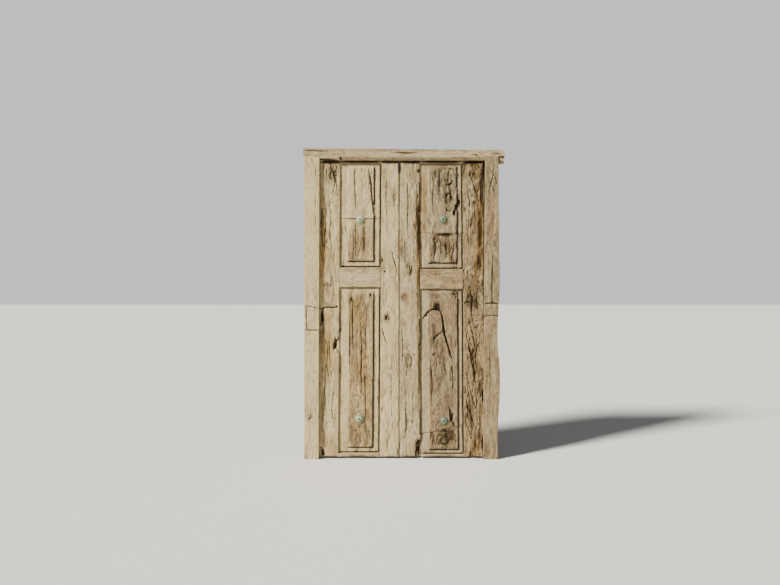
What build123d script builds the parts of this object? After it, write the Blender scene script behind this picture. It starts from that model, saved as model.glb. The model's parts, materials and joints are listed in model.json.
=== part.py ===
"""Salvaged two-leaf timber door in its own frame, with raised and fielded panels and four round bosses.

Millimetres. +X is to the right, +Y runs from the weathered front to the inside, +Z is up.
The origin is the middle of the door's outline on the floor.
"""

from build123d import *
import math
import os

os.makedirs("parts", exist_ok=True)

# Frame: the head lies across two jambs and runs past both of them
frame_width = 1411.0
frame_height = 2180.0
head_height = 86.0
head_top_fall = 12.0
head_overhang = (7.0, 41.5)
jamb_housing = 28.0
left_jamb_width = (108.5, 102.5)
right_jamb_width = (95.0, 109.0)
jamb_back_width = (94.5, 83.0)
horn_drop = 19.0
horn_setback = 10.0
head_chamfer = (12.0, 23.0)
head_worn_corner = (145.0, 14.0)
worn_arris = 2.5
jamb_tenon = (58.0, 24.0, 36.0)

# Outer edge of the right jamb: steps off its straight line at equal heights, from the top down
jamb_wane = (-2.0, 1.0, 1.5, 4.0, 3.0, 8.5, 4.0, -5.5, -7.5, 6.5, 8.0, 1.0, -7.5, -2.5)

# Depths, from the frame's front face towards the inside
lip_depth = 18.0
lip_gap = 1.0
leaf_thickness = 44.0
quirk_depth = 19.0
border_rise = 8.0
field_rise = 11.0
tongue_thickness = 10.0
tenon_thickness = 10.0

# Leaves
head_rebate = 9.0
leaf_top_gap = 3.0
leaf_floor_gap = 14.0
hinge_gap = 3.0
meeting_line = -34.5
meeting_gap = 1.0
meeting_bevel = 2.7
left_hinge_stile_width = (153.0, 139.0)
left_meeting_stile_width = (122.5, 136.0)
right_meeting_stile_width = (147.0, 152.0)
right_hinge_stile_width = (165.0, 155.0)
middle_rail_height = 137.0
middle_rail_foot = (1206.0, 1194.0)
top_rail_sight = 25.0
bottom_rail_sight = (24.0, 14.0)
top_rail_height = 95.0
bottom_rail_height = 110.0
groove_depth = 10.0
tenon_length = 62.0
tenon_shoulder = 14.0
joint_clearance = 0.2
peg_radius = 5.5
peg_inset = 24.0
peg_depth = 34.0

# Panels: a sunk quirk, a flat border and a raised field. Field margins are left, right, top and bottom,
# and a joint between two boards is given by its heights in the opening, at the left and right stile
quirk_width = 11.0
field_taper = 14.0
knot_narrowing = 0.6
knot_sides = 11
left_upper_margins = (43.0, 41.0, 14.0, 34.0)
left_lower_margins = (56.0, 40.0, 28.0, 30.0)
right_upper_margins = (46.0, 32.0, 14.0, 32.0)
right_lower_margins = (46.0, 31.0, 10.0, 26.0)
left_upper_joint = (347.0, 347.0)
right_upper_joint = (255.0, 255.0)
right_lower_joint = (142.0, 210.0)
board_gap = 2.5
gap_floor = 3.0
board_step = 5.0

# Bosses: radius, step to the right of the opening's middle, and height in the opening
boss_height = 13.0
boss_rim = (5.0, 4.0)
boss_dimple_depth = 4.0
boss_sizes = {
    "left_upper_boss": (31.0, -0.5, 336.5),
    "left_lower_boss": (32.0, -0.2, 242.5),
    "right_upper_boss": (30.0, 12.0, 349.5),
    "right_lower_boss": (30.0, 12.4, 237.5),
}
boss_nail_radius = 3.0
boss_nail_head = (5.5, 2.0)
rove_side = 15.0
rove_thickness = 2.5

# Butt hinges: the lower one measured from the leaf's foot, the upper one from its top
hinge_insets = (286.0, 300.0)
plate_height = 140.0
plate_width = 34.0
plate_thickness = 2.5
plate_gap = 0.4
knuckle_radius = 6.0
knuckle_proud = 0.5
knuckle_gap = 0.3
pin_radius = 3.0
pin_clearance = 0.08
pin_head = (4.8, 2.5)
gain_clearance = 0.3

# Slide bolt on the inside of the right meeting stile
bolt_height = 1060.0
bolt_radius = 7.0
bolt_length = 138.0
bolt_lift = 1.5
bolt_clearance = 0.1
keeper_clearance = 1.5
bolt_reach = 34.0
bolt_end_inset = 6.0
handle_radius = 5.5
handle_place = 100.0
staple_width = 14.0
staple_thickness = 3.0
staple_foot = 18.0
staple_bend = 3.0
staple_places = (10.0, 122.0)
keeper_place = 40.0
nail_side = 3.0
nail_head_side = 7.0
nail_head_height = 1.5
nail_length = 24.0

# Anchor holes that fix the jambs to a wall, in a line on each jamb from near the floor to near the head
anchor_radius = 5.5
anchor_sink_radius = 12.0
anchor_sink_depth = 40.0
anchor_insets = (480.0, 122.0)
anchor_count = 3

# Worked-out places
left_end = -frame_width / 2
right_end = frame_width / 2
jamb_outer = (left_end + head_overhang[0], right_end - head_overhang[1])
jamb_rebate = (jamb_outer[0] + jamb_back_width[0], jamb_outer[1] - jamb_back_width[1])
frame_depth = lip_depth + lip_gap + leaf_thickness
front_y = -(frame_depth + bolt_reach) / 2
leaf_front = lip_depth + lip_gap
tongue_front = leaf_front + quirk_depth
tongue_back = tongue_front + tongue_thickness
border_front = tongue_front - border_rise
field_front = border_front - field_rise
head_lip_z = frame_height - head_height
head_rebate_z = head_lip_z + head_rebate
jamb_top = head_lip_z + jamb_housing
leaf_top = head_rebate_z - leaf_top_gap
leaf_foot = leaf_floor_gap
left_hinge_edge = jamb_rebate[0] + hinge_gap
right_hinge_edge = jamb_rebate[1] - hinge_gap
left_meeting_edge = meeting_line - meeting_gap / 2
right_meeting_edge = meeting_line + meeting_gap / 2
hinge_axis_y = frame_depth + knuckle_proud + knuckle_radius
hinge_heights = (leaf_foot + hinge_insets[0], leaf_top - hinge_insets[1])
eps = 1.0


def face_plane(depth):
    """Upright plane looking out of the front, at a depth behind the frame's front face."""
    return Plane.XZ.offset(-(front_y + depth))


def along(ends, z):
    """X of a straight edge at a height, from its places at the leaf's top and foot."""
    share = (z - leaf_foot) / (leaf_top - leaf_foot)
    return ends[1] + (ends[0] - ends[1]) * share


def lip_edges(z):
    """X of the two jambs' front inner edges at a height; both edges lean a little."""
    share = z / jamb_top
    left = jamb_outer[0] + left_jamb_width[1] + (left_jamb_width[0] - left_jamb_width[1]) * share
    right = jamb_outer[1] - right_jamb_width[1] - (right_jamb_width[0] - right_jamb_width[1]) * share
    return left, right


def save(part, name):
    part.label = name
    export_step(part, f"parts/{name}.step")


def board(corners, depth, thickness, mode=Mode.ADD):
    """A flat piece with the given corners, from one depth back through its thickness."""
    with BuildSketch(face_plane(depth)) as outline:
        Polygon(*corners, align=None)
    extrude(outline.sketch, amount=-thickness, mode=mode)


def wear_front(part):
    """Takes the sharpness off the long front arrises of a blank."""
    front = part.edges().group_by(Axis.Y)[0].sort_by(SortBy.LENGTH)[-2:]
    chamfer(front, worn_arris)


def box_corners(left, right, foot, top):
    return [(left, foot), (right, foot), (right, top), (left, top)]


def cut_split(corner, steps, width, surface, depth):
    """A drying crack through points given as steps from a corner of its board.

    It is widest in its middle and runs out at both ends.
    """
    points = [(corner[0] + x, corner[1] + z) for x, z in steps]
    run = math.hypot(points[-1][0] - points[0][0], points[-1][1] - points[0][1])
    across = ((points[0][1] - points[-1][1]) / run, (points[-1][0] - points[0][0]) / run)
    inner = [
        (x, z, width / 2 * math.sin(math.pi * i / (len(points) - 1)))
        for i, (x, z) in list(enumerate(points))[1:-1]
    ]
    one_side = [(x + across[0] * half, z + across[1] * half) for x, z, half in inner]
    other_side = [(x - across[0] * half, z - across[1] * half) for x, z, half in inner]
    outline = [points[0], *one_side, points[-1], *reversed(other_side)]
    board(outline, surface, depth, mode=Mode.SUBTRACT)


def cut_break(corner, steps, surface, depth):
    """A broken-out patch with angular sides, its corners given as steps from a corner of its board."""
    board([(corner[0] + x, corner[1] + z) for x, z in steps], surface, depth, mode=Mode.SUBTRACT)


def cut_knot(corner, step, size, surface, depth):
    """A knot hole, roughly oval, that narrows as it goes in."""
    middle = (corner[0] + step[0], corner[1] + step[1])
    turns = [2 * math.pi * i / knot_sides for i in range(knot_sides)]
    oval = [(size[0] / 2 * math.cos(turn), size[1] / 2 * math.sin(turn)) for turn in turns]
    outlines = []
    for share, level in ((1, surface), (knot_narrowing, surface + depth)):
        with BuildSketch(face_plane(level)) as outline:
            Polygon(*[(middle[0] + x * share, middle[1] + z * share) for x, z in oval], align=None)
        outlines.append(outline.sketch)
    loft(outlines, ruled=True, mode=Mode.SUBTRACT)


def cut_wane(edge, side, widths, depth):
    """Takes off the front arris of an upright edge by widths at equal heights, from the top down."""
    steps = len(widths) - 1
    surface = front_y + leaf_front
    sections = []
    for i, width in enumerate(widths):
        z = leaf_top + eps - (leaf_top - leaf_foot + 2 * eps) * i / steps
        x = along(edge, z)
        with BuildSketch(Plane.XY.offset(z)) as section:
            Polygon(
                (x + side * eps, surface - eps),
                (x - side * width, surface - eps),
                (x - side * width, surface),
                (x + side * eps, surface + depth),
                align=None,
            )
        sections.append(section.sketch)
    loft(sections, ruled=True, mode=Mode.SUBTRACT)


# Leaf layout, shared by the stiles, rails and panels of each leaf

class Leaf:
    """Edges of one leaf: the stiles' inner lines, and the rails' sight lines seen from the front."""

    def __init__(self, side, inner_left, inner_right, rail_foot, foot_sight):
        self.side = side
        self.inner_left = inner_left
        self.inner_right = inner_right
        self.rail = (rail_foot, rail_foot + middle_rail_height)
        self.foot_sight = leaf_foot + foot_sight
        self.top_sight = leaf_top - top_rail_sight

    def span(self, foot, top, grow=0.0, left=0.0, right=0.0):
        """Corners of the opening between the stiles from foot to top, grown all round or cut in."""
        low, high = foot - grow, top + grow
        return [
            (along(self.inner_left, low) - grow + left, low),
            (along(self.inner_right, low) + grow - right, low),
            (along(self.inner_right, high) + grow - right, high),
            (along(self.inner_left, high) - grow + left, high),
        ]

    def openings(self):
        """Foot and top of the two panel openings, upper first."""
        return (self.rail[1], self.top_sight), (self.foot_sight, self.rail[0])

    def boss(self, place):
        """Radius, X and Z of the boss on the upper or lower panel."""
        radius, step, rise = boss_sizes[f"{self.side}_{place}_boss"]
        opening = self.openings()[0 if place == "upper" else 1]
        z = opening[0] + rise
        middle = (along(self.inner_left, z) + along(self.inner_right, z)) / 2
        return radius, middle + step, z

    def tenons(self):
        """Foot and top of the tenons on the top, middle and bottom rails."""
        return (
            (leaf_top - top_rail_height + tenon_shoulder, leaf_top - tenon_shoulder),
            (self.rail[0] + tenon_shoulder, self.rail[1] - tenon_shoulder),
            (leaf_foot + tenon_shoulder, leaf_foot + bottom_rail_height - tenon_shoulder),
        )

    def pegs(self):
        """Places of the pegs through the tenons, both stiles."""
        places = []
        for foot, top in self.tenons():
            middle = (foot + top) / 2
            heights = [middle]
            if top - foot > middle_rail_height / 2:
                heights = [middle - peg_inset, middle + peg_inset]
            for z in heights:
                places.append((along(self.inner_left, z) - peg_inset, z))
                places.append((along(self.inner_right, z) + peg_inset, z))
        return places


left_leaf = Leaf(
    "left",
    tuple(left_hinge_edge + w for w in left_hinge_stile_width),
    tuple(left_meeting_edge - w for w in left_meeting_stile_width),
    middle_rail_foot[0],
    bottom_rail_sight[0],
)
right_leaf = Leaf(
    "right",
    tuple(right_meeting_edge + w for w in right_meeting_stile_width),
    tuple(right_hinge_edge - w for w in right_hinge_stile_width),
    middle_rail_foot[1],
    bottom_rail_sight[1],
)


# Joinery cut into stiles and rails

def cut_grooves(leaf):
    """Grooves for the panels' tongues, on every side of both openings."""
    grow = groove_depth + joint_clearance
    for foot, top in leaf.openings():
        board(
            leaf.span(foot, top, grow),
            tongue_front - joint_clearance,
            tongue_thickness + 2 * joint_clearance,
            mode=Mode.SUBTRACT,
        )


def cut_mortises(leaf):
    """Blind mortises in the stiles, a little larger than the rails' tenons."""
    for foot, top in leaf.tenons():
        reach = -(tenon_length + joint_clearance)
        corners = leaf.span(foot - joint_clearance, top + joint_clearance, 0, reach, reach)
        board(
            corners, tongue_back, tenon_thickness + joint_clearance, mode=Mode.SUBTRACT)


def peg_shapes(places, radius, depth, mode):
    """Eight-sided pegs, or their holes, driven from the back."""
    with BuildSketch(face_plane(frame_depth)) as ends:
        with Locations(*places):
            RegularPolygon(radius, 8)
    extrude(ends.sketch, amount=depth, mode=mode)


def cut_peg_holes(places):
    peg_shapes(places, peg_radius + joint_clearance, peg_depth + joint_clearance, Mode.SUBTRACT)


# Hinges

class Hinge:
    """Places of one leaf's hinges: jamb is -1 where the jamb lies to the left of the leaf, else 1."""

    def __init__(self, side, jamb, rebate):
        self.side = side
        self.jamb = jamb
        self.axis_x = rebate - jamb * hinge_gap / 2

    def plate_face(self, on):
        """X of the face a plate turns to the other plate; on is jamb or -jamb."""
        return self.axis_x + on * plate_gap / 2

    def cut_gains(self, on):
        """Shallow recesses that let the plates into the wood."""
        face = self.plate_face(on) + on * (plate_thickness + joint_clearance)
        back = front_y + frame_depth
        for z in hinge_heights:
            with BuildSketch(Plane.XY.offset(z - plate_height / 2 - gain_clearance)) as recess:
                Polygon(
                    (self.axis_x, back - plate_width - gain_clearance),
                    (face, back - plate_width - gain_clearance),
                    (face, back + eps),
                    (self.axis_x, back + eps),
                    align=None,
                )
            extrude(recess.sketch, amount=plate_height + 2 * gain_clearance, mode=Mode.SUBTRACT)


left_hinge = Hinge("left", -1, jamb_rebate[0])
right_hinge = Hinge("right", 1, jamb_rebate[1])


def knuckle_spans(z):
    """Foot and top of the three knuckles of a hinge: frame, leaf, frame."""
    third = plate_height / 3
    foot = z - plate_height / 2
    return [
        (foot, foot + third - knuckle_gap / 2),
        (foot + third + knuckle_gap / 2, foot + 2 * third - knuckle_gap / 2),
        (foot + 2 * third + knuckle_gap / 2, foot + plate_height),
    ]


def hinge_plate(hinge, z, on):
    """One half of a butt hinge, its knuckles wrapped round the pin."""
    spans = knuckle_spans(z)
    own = [spans[0], spans[2]] if on == hinge.jamb else [spans[1]]
    back = front_y + frame_depth
    axis_y = front_y + hinge_axis_y
    low = min(hinge.plate_face(on), hinge.plate_face(on) + on * plate_thickness)
    with BuildPart() as plate:
        with BuildSketch(Plane.YZ.offset(low)):
            low_z, high_z = z - plate_height / 2, z + plate_height / 2
            Polygon(*box_corners(back - plate_width, back, low_z, high_z), align=None)
            for foot, top in own:
                Polygon(*box_corners(back - eps, axis_y, foot, top), align=None)
        extrude(amount=plate_thickness)
        for foot, top in own:
            with BuildSketch(Plane.XY.offset(foot)):
                with Locations((hinge.axis_x, axis_y)):
                    Circle(knuckle_radius)
            extrude(amount=top - foot)
        with Locations((hinge.axis_x, axis_y, z)):
            Cylinder(pin_radius + pin_clearance, plate_height + 2 * eps, mode=Mode.SUBTRACT)
    return plate.part


def hinge_pins(hinge):
    with BuildPart() as pins:
        for z in hinge_heights:
            with Locations((hinge.axis_x, front_y + hinge_axis_y, z + plate_height / 2)):
                Cylinder(pin_radius, plate_height, align=(Align.CENTER, Align.CENTER, Align.MAX))
                Cylinder(pin_head[0], pin_head[1], align=(Align.CENTER, Align.CENTER, Align.MIN))
    return pins.part


# Frame

def cut_anchor_holes(jamb, rebate, outer):
    """Sunk holes through a jamb, in a line behind the closed leaf."""
    depth_middle = front_y + (lip_depth + frame_depth) / 2
    side = 1 if outer > rebate else -1
    first, last = anchor_insets[0], jamb_top - anchor_insets[1]
    heights = [first + (last - first) * i / (anchor_count - 1) for i in range(anchor_count)]
    planes = [
        Plane(origin=(rebate, depth_middle, z), x_dir=(0, 1, 0), z_dir=(-side, 0, 0)) for z in heights
    ]
    with Locations(*planes):
        CounterBoreHole(anchor_radius, anchor_sink_radius, anchor_sink_depth, 3 * abs(outer - rebate))


def jamb_tenon_centre(rebate, outer):
    return ((rebate + outer) / 2, front_y + (lip_depth + frame_depth) / 2)


def add_jamb_tenon(rebate, outer, grow, mode):
    width, thickness, height = jamb_tenon
    with BuildSketch(Plane.XY.offset(jamb_top)) as section:
        with Locations(jamb_tenon_centre(rebate, outer)):
            Rectangle(width + 2 * grow, thickness + 2 * grow)
    extrude(section.sketch, amount=height + grow, mode=mode)


def frame_peg_places():
    """Two pegs through each jamb tenon, driven from the back of the head."""
    places = []
    for rebate, outer in zip(jamb_rebate, jamb_outer):
        middle = jamb_tenon_centre(rebate, outer)[0]
        quarter = jamb_tenon[0] / 4
        for x in (middle - quarter, middle + quarter):
            places.append((x, jamb_top + jamb_tenon[2] / 2))
    return places


def left_jamb_part():
    outer, rebate = jamb_outer[0], jamb_rebate[0]
    lip_foot, lip_top = lip_edges(0)[0], lip_edges(jamb_top)[0]
    with BuildPart() as jamb:
        board([(outer, 0), (lip_foot, 0), (lip_top, jamb_top), (outer, jamb_top)], 0, lip_depth)
        wear_front(jamb)
        board(box_corners(outer, rebate, 0, jamb_top), lip_depth, frame_depth - lip_depth)
        add_jamb_tenon(rebate, outer, 0, Mode.ADD)
        left_hinge.cut_gains(left_hinge.jamb)
        cut_anchor_holes(jamb, rebate, outer)
        cut_peg_holes(frame_peg_places()[:2])
        # A let-in patch low on the face shows as two slanting cuts and a short upright one
        patch = (outer + 14, 1066)
        cut_split(patch, [(0, 8), (35, 0), (84, -12)], 4, 0, 5)
        cut_split(patch, [(0, -160), (40, -165), (84, -162)], 3, 0, 4)
        cut_split(patch, [(6, 0), (4, -80), (8, -158)], 3, 0, 4)
        cut_split(patch, [(10, -730), (34, -745), (38, -775), (20, -790)], 3, 0, 3)
    return jamb.part


def right_jamb_part():
    outer, rebate = jamb_outer[1], jamb_rebate[1]
    lip_foot, lip_top = lip_edges(0)[1], lip_edges(jamb_top)[1]
    spaces = len(jamb_wane) - 1
    edge = [(outer + step, jamb_top * (1 - i / spaces)) for i, step in enumerate(jamb_wane)]
    with BuildPart() as jamb:
        with BuildSketch(face_plane(0)):
            with BuildLine():
                Polyline(edge[0], (lip_top, jamb_top), (lip_foot, 0), edge[-1])
                Spline(*edge)
            make_face()
        extrude(amount=-frame_depth)
        wear_front(jamb)
        board(
            box_corners(lip_foot - eps, rebate, -eps, jamb_top + eps),
            lip_depth,
            frame_depth,
            mode=Mode.SUBTRACT,
        )
        add_jamb_tenon(rebate, outer, 0, Mode.ADD)
        right_hinge.cut_gains(right_hinge.jamb)
        cut_anchor_holes(jamb, rebate, outer)
        cut_peg_holes(frame_peg_places()[2:])
        corner = (outer, 0)
        cut_split(corner, [(-46, 1430), (-42, 1330), (-50, 1210), (-46, 1046)], 7, 0, 14)
        cut_split(corner, [(-96, 1088), (-50, 1094), (-6, 1090)], 4, 0, 5)
        cut_split(corner, [(-98, 1000), (-52, 1006), (-6, 1004)], 3, 0, 4)
        cut_split(corner, [(-30, 2060), (-44, 1960), (-62, 1900), (-70, 1800)], 6, 0, 9)
    return jamb.part


def head_part():
    lip_low, lip_high = lip_edges(head_lip_z), lip_edges(jamb_top)
    lip_left, lip_right = lip_low
    top_right = frame_height - head_top_fall
    horn_left = jamb_outer[1] + max(jamb_wane[:3]) + eps
    depth, height = head_chamfer
    with BuildPart() as head:
        board([
            (left_end, jamb_top), (right_end, jamb_top), (right_end, top_right), (left_end, frame_height)
        ], 0, frame_depth)
        top_arris = head.edges().group_by(Axis.Y)[0].sort_by(Axis.Z)[-1]
        chamfer(top_arris, worn_arris)
        board([
            (lip_low[0], head_lip_z), (lip_low[1], head_lip_z),
            (lip_high[1], jamb_top), (lip_high[0], jamb_top),
        ], 0, lip_depth)
        board(
            box_corners(jamb_rebate[0], jamb_rebate[1], head_rebate_z, jamb_top),
            lip_depth,
            frame_depth - lip_depth,
        )
        board(
            box_corners(horn_left, right_end, head_lip_z - horn_drop, jamb_top),
            horn_setback,
            frame_depth - horn_setback,
        )
        for rebate, outer in zip(jamb_rebate, jamb_outer):
            add_jamb_tenon(rebate, outer, joint_clearance, Mode.SUBTRACT)
        cut_peg_holes(frame_peg_places())
        # The lower front arris is bevelled between the jambs, and worn hollow at its left end
        with BuildSketch(Plane.YZ.offset(lip_left + head_worn_corner[0])):
            Polygon(
                (front_y - eps, head_lip_z - eps),
                (front_y + depth, head_lip_z - eps),
                (front_y + depth, head_lip_z),
                (front_y, head_lip_z + height),
                (front_y - eps, head_lip_z + height),
                align=None,
            )
        extrude(amount=lip_right - lip_left - head_worn_corner[0], mode=Mode.SUBTRACT)
        worn_width, worn_height = head_worn_corner
        cut_break((lip_left, head_lip_z), [
            (0, -eps), (0, worn_height), (worn_width * 0.45, worn_height * 0.75), (worn_width, 0),
            (worn_width, -eps)
        ], 0, lip_depth)
        corner = (right_end, top_right)
        cut_split(corner, [(-222, -28), (-198, -38), (-172, -55)], 7, 0, 12)
        cut_split(corner, [(-96, -30), (-60, -25), (-28, -32)], 5, 0, 8)
        cut_split(corner, [(-770, -18), (-700, -25), (-620, -22)], 9, 0, 14)
        cut_split((left_end, frame_height), [(8, -19), (90, -20), (178, -23)], 4, 0, 8)
    return head.part


# Stiles

def stile(part, leaf, corners):
    """Blank of a stile with worn arrises, its grooves, mortises and peg holes, in the part being built."""
    board(corners, leaf_front, leaf_thickness)
    wear_front(part)
    cut_grooves(leaf)
    cut_mortises(leaf)
    cut_peg_holes(leaf.pegs())


def cut_meeting_bevel(edge, side):
    """Planes the meeting edge back towards the front, so that the leaf can swing past the other one."""
    face = front_y + leaf_front
    with BuildSketch(Plane.XY.offset(leaf_foot - eps)) as shaving:
        Polygon(
            (edge + side * eps, face - eps),
            (edge - side * meeting_bevel, face - eps),
            (edge - side * meeting_bevel, face),
            (edge, face + leaf_thickness),
            (edge + side * eps, face + leaf_thickness),
            align=None,
        )
    extrude(shaving.sketch, amount=leaf_top - leaf_foot + 2 * eps, mode=Mode.SUBTRACT)


def left_hinge_stile_part():
    inner = left_leaf.inner_left
    with BuildPart() as part:
        stile(part, left_leaf, [
            (left_hinge_edge, leaf_foot), (inner[1], leaf_foot),
            (inner[0], leaf_top), (left_hinge_edge, leaf_top),
        ])
        left_hinge.cut_gains(-left_hinge.jamb)
        corner = (left_hinge_edge, leaf_foot)
        # Chunk lost from the outer edge, and the rotted corner at the foot
        missing_chunk = [(-1, 918), (28, 930), (40, 962), (34, 1010), (44, 1042), (-1, 1046)]
        cut_break(corner, missing_chunk, leaf_front, 16)
        cut_break(corner, [(-1, -1), (34, -1), (40, 22), (26, 48), (30, 66), (-1, 74)], leaf_front, 24)
        cut_split(corner, [(28, 1048), (72, 1054), (104, 1044), (128, 1050)], 7, leaf_front, 12)
        cut_knot(corner, (127, 1053), (11, 9), leaf_front, 14)
        # Split-off sliver on the inner edge
        edge = (along(inner, 790), leaf_foot)
        cut_break(edge, [(1, 722), (-12, 742), (-38, 784), (-30, 800), (-12, 826), (1, 850)], leaf_front, 13)
        cut_split(corner, [(120, 2076), (128, 2030), (118, 1985), (122, 1930)], 6, leaf_front, 8)
        cut_split(corner, [(96, 2060), (92, 2010), (84, 1960)], 5, leaf_front, 7)
        cut_split(corner, [(30, 1480), (24, 1600), (28, 1740)], 5, leaf_front, 8)
        cut_split(corner, [(52, 330), (46, 460), (50, 610)], 4, leaf_front, 8)
    return part.part


def left_meeting_stile_part():
    inner = left_leaf.inner_right
    with BuildPart() as part:
        stile(part, left_leaf, [
            (inner[1], leaf_foot), (left_meeting_edge, leaf_foot),
            (left_meeting_edge, leaf_top), (inner[0], leaf_top),
        ])
        cut_meeting_bevel(left_meeting_edge, 1)
        cut_wane((left_meeting_edge, left_meeting_edge), 1, (12, 5, 4, 4, 5, 6, 4, 4, 5, 4, 4, 5, 4, 7), 6)
        corner = (left_meeting_edge, leaf_foot)
        cut_knot(corner, (-100, 1300), (12, 16), leaf_front, 14)
        cut_split(corner, [(-52, 1452), (-40, 1390), (-22, 1340), (-16, 1292)], 6, leaf_front, 9)
        cut_split(corner, [(-119, 1404), (-116, 1380), (-120, 1352)], 7, leaf_front, 10)
        cut_knot(corner, (-86, 976), (14, 20), leaf_front, 10)
        cut_knot(corner, (-70, 962), (8, 14), leaf_front, 8)
        cut_split(corner, [(-118, 900), (-108, 860), (-90, 806)], 5, leaf_front, 8)
        cut_split(corner, [(-116, 352), (-120, 330), (-117, 308)], 7, leaf_front, 14)
        cut_split(corner, [(-12, 62), (-9, 30), (-12, 2)], 5, leaf_front, 12)
    return part.part


def right_meeting_stile_part():
    inner = right_leaf.inner_left
    with BuildPart() as part:
        stile(part, right_leaf, [
            (right_meeting_edge, leaf_foot), (inner[1], leaf_foot),
            (inner[0], leaf_top), (right_meeting_edge, leaf_top),
        ])
        cut_meeting_bevel(right_meeting_edge, -1)
        # The waney right edge, from the top down
        cut_wane(inner, 1, (12, 5, 3, 17, 12, 8, 6, 5, 3, 21, 7, 3, 4, 19), 14)
        # Splayed gap at the top of the meeting edges
        splay = (17, 5, 4, 4, 4, 5, 4, 4, 4, 5, 4, 4, 4, 6)
        cut_wane((right_meeting_edge, right_meeting_edge), -1, splay, 24)
        corner = (right_meeting_edge, leaf_foot)
        cut_break(corner, [(124, 2010), (138, 1999), (150, 2008), (150, 2018), (136, 2012)], leaf_front, 12)
        cut_knot(corner, (39, 1117), (44, 66), leaf_front, 4)
        cut_split(corner, [(70, 1348), (80, 1300), (76, 1256)], 9, leaf_front, 14)
        cut_split(corner, [(86, 1340), (92, 1310), (90, 1270)], 6, leaf_front, 12)
        cut_break(corner, [(112, -1), (112, 40), (124, 62), (118, 90), (132, 116), (154, 108), (154, -1)],
                  leaf_front, 11)
        cut_split(corner, [(60, 1900), (66, 1790), (58, 1680), (63, 1560)], 4, leaf_front, 8)
    return part.part


def right_hinge_stile_part():
    inner = right_leaf.inner_right
    with BuildPart() as part:
        stile(part, right_leaf, [
            (inner[1], leaf_foot), (right_hinge_edge, leaf_foot),
            (right_hinge_edge, leaf_top), (inner[0], leaf_top),
        ])
        cut_wane((right_hinge_edge, right_hinge_edge), 1,
                 (24, 24, 30, 29, 37, 25, 22, 20, 19, 19, 25, 19, 25, 26), 30)
        right_hinge.cut_gains(-right_hinge.jamb)
        corner = (right_hinge_edge, leaf_foot)
        cut_break(corner, [(-18, 2090), (-24, 2060), (-16, 2030), (1, 2028), (1, 2090)], leaf_front, 34)
        cut_break(corner, [(-28, 384), (-32, 424), (-27, 466), (1, 466), (1, 384)], leaf_front, 30)
        cut_break(corner, [(-26, 36), (-30, 90), (-25, 150), (1, 150), (1, 36)], leaf_front, 30)
        cut_split(corner, [(-153, 1077), (-136, 1086), (-120, 1088)], 7, leaf_front, 12)
        cut_split(corner, [(-112, 2070), (-98, 2040), (-82, 2010)], 9, leaf_front, 12)
        cut_split(corner, [(-64, 2050), (-48, 2036), (-30, 2016)], 8, leaf_front, 12)
        cut_split(corner, [(-120, 1196), (-96, 1120), (-104, 1010), (-82, 900)], 7, leaf_front, 9)
        cut_split(corner, [(-60, 1180), (-66, 1100), (-52, 1020)], 6, leaf_front, 8)
        cut_split(corner, [(-110, 760), (-84, 640), (-72, 500)], 5, leaf_front, 8)
    return part.part


# Rails

def rail(leaf, sight, back, tenon):
    """A rail: its height seen from the front, its taller back, and a tenon at each end."""
    with BuildPart() as part:
        board(leaf.span(*sight), leaf_front, leaf_thickness)
        board(leaf.span(*back), tongue_back + joint_clearance, frame_depth - tongue_back - joint_clearance)
        reach = -tenon_length
        board(
            leaf.span(tenon[0], tenon[1], 0, reach, reach),
            tongue_back + joint_clearance,
            tenon_thickness - joint_clearance,
        )
        cut_grooves(leaf)
        cut_peg_holes(leaf.pegs())
    return part.part


def rails(leaf):
    top_tenon, middle_tenon, bottom_tenon = leaf.tenons()
    return {
        "top_rail": rail(
            leaf, (leaf.top_sight, leaf_top), (leaf_top - top_rail_height, leaf_top), top_tenon),
        "middle_rail": rail(leaf, leaf.rail, leaf.rail, middle_tenon),
        "bottom_rail": rail(
            leaf, (leaf_foot, leaf.foot_sight), (leaf_foot, leaf_foot + bottom_rail_height), bottom_tenon),
    }


# Panels

def panel(leaf, opening, margins):
    """A panel blank: tongue, border behind a quirk, and raised field with sloping sides."""
    foot, top = opening
    left, right, above, below = margins
    board(leaf.span(foot, top, groove_depth), tongue_front, tongue_thickness)
    board(leaf.span(foot, top, -quirk_width), border_front, border_rise)
    inset = quirk_width
    field = leaf.span(foot + inset + below, top - inset - above, 0, inset + left, inset + right)
    with BuildSketch(face_plane(border_front)) as outline:
        Polygon(*field, align=None)
    extrude(outline.sketch, amount=field_rise, taper=field_taper)


def cut_boss_hole(leaf, place):
    boss = leaf.boss(place)
    with Locations(Plane(origin=(boss[1], front_y, boss[2]), z_dir=(0, -1, 0))):
        Cylinder(boss_nail_radius + joint_clearance, 3 * frame_depth, mode=Mode.SUBTRACT)


def keep_board(leaf, opening, joint, above):
    """Keeps the board above or below the gap at a joint, given by its heights in the opening."""
    foot, top = opening
    low, high = (foot + rise for rise in joint)
    left, right = along(leaf.inner_left, low), along(leaf.inner_right, high)
    lean = (high - low) / (right - left)
    reach = 2 * groove_depth
    side, waste = (1, foot - reach) if above else (-1, top + reach)
    # Open in front, and all but closed behind the gap's floor
    floor = tongue_front + gap_floor
    for gap, depth, thickness in ((board_gap, 0, floor), (joint_clearance, floor, frame_depth - floor)):
        rise = side * gap / 2
        ends = (left - reach, low - lean * reach + rise), (right + reach, high + lean * reach + rise)
        board([*ends, (right + reach, waste), (left - reach, waste)], depth, thickness, mode=Mode.SUBTRACT)


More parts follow.
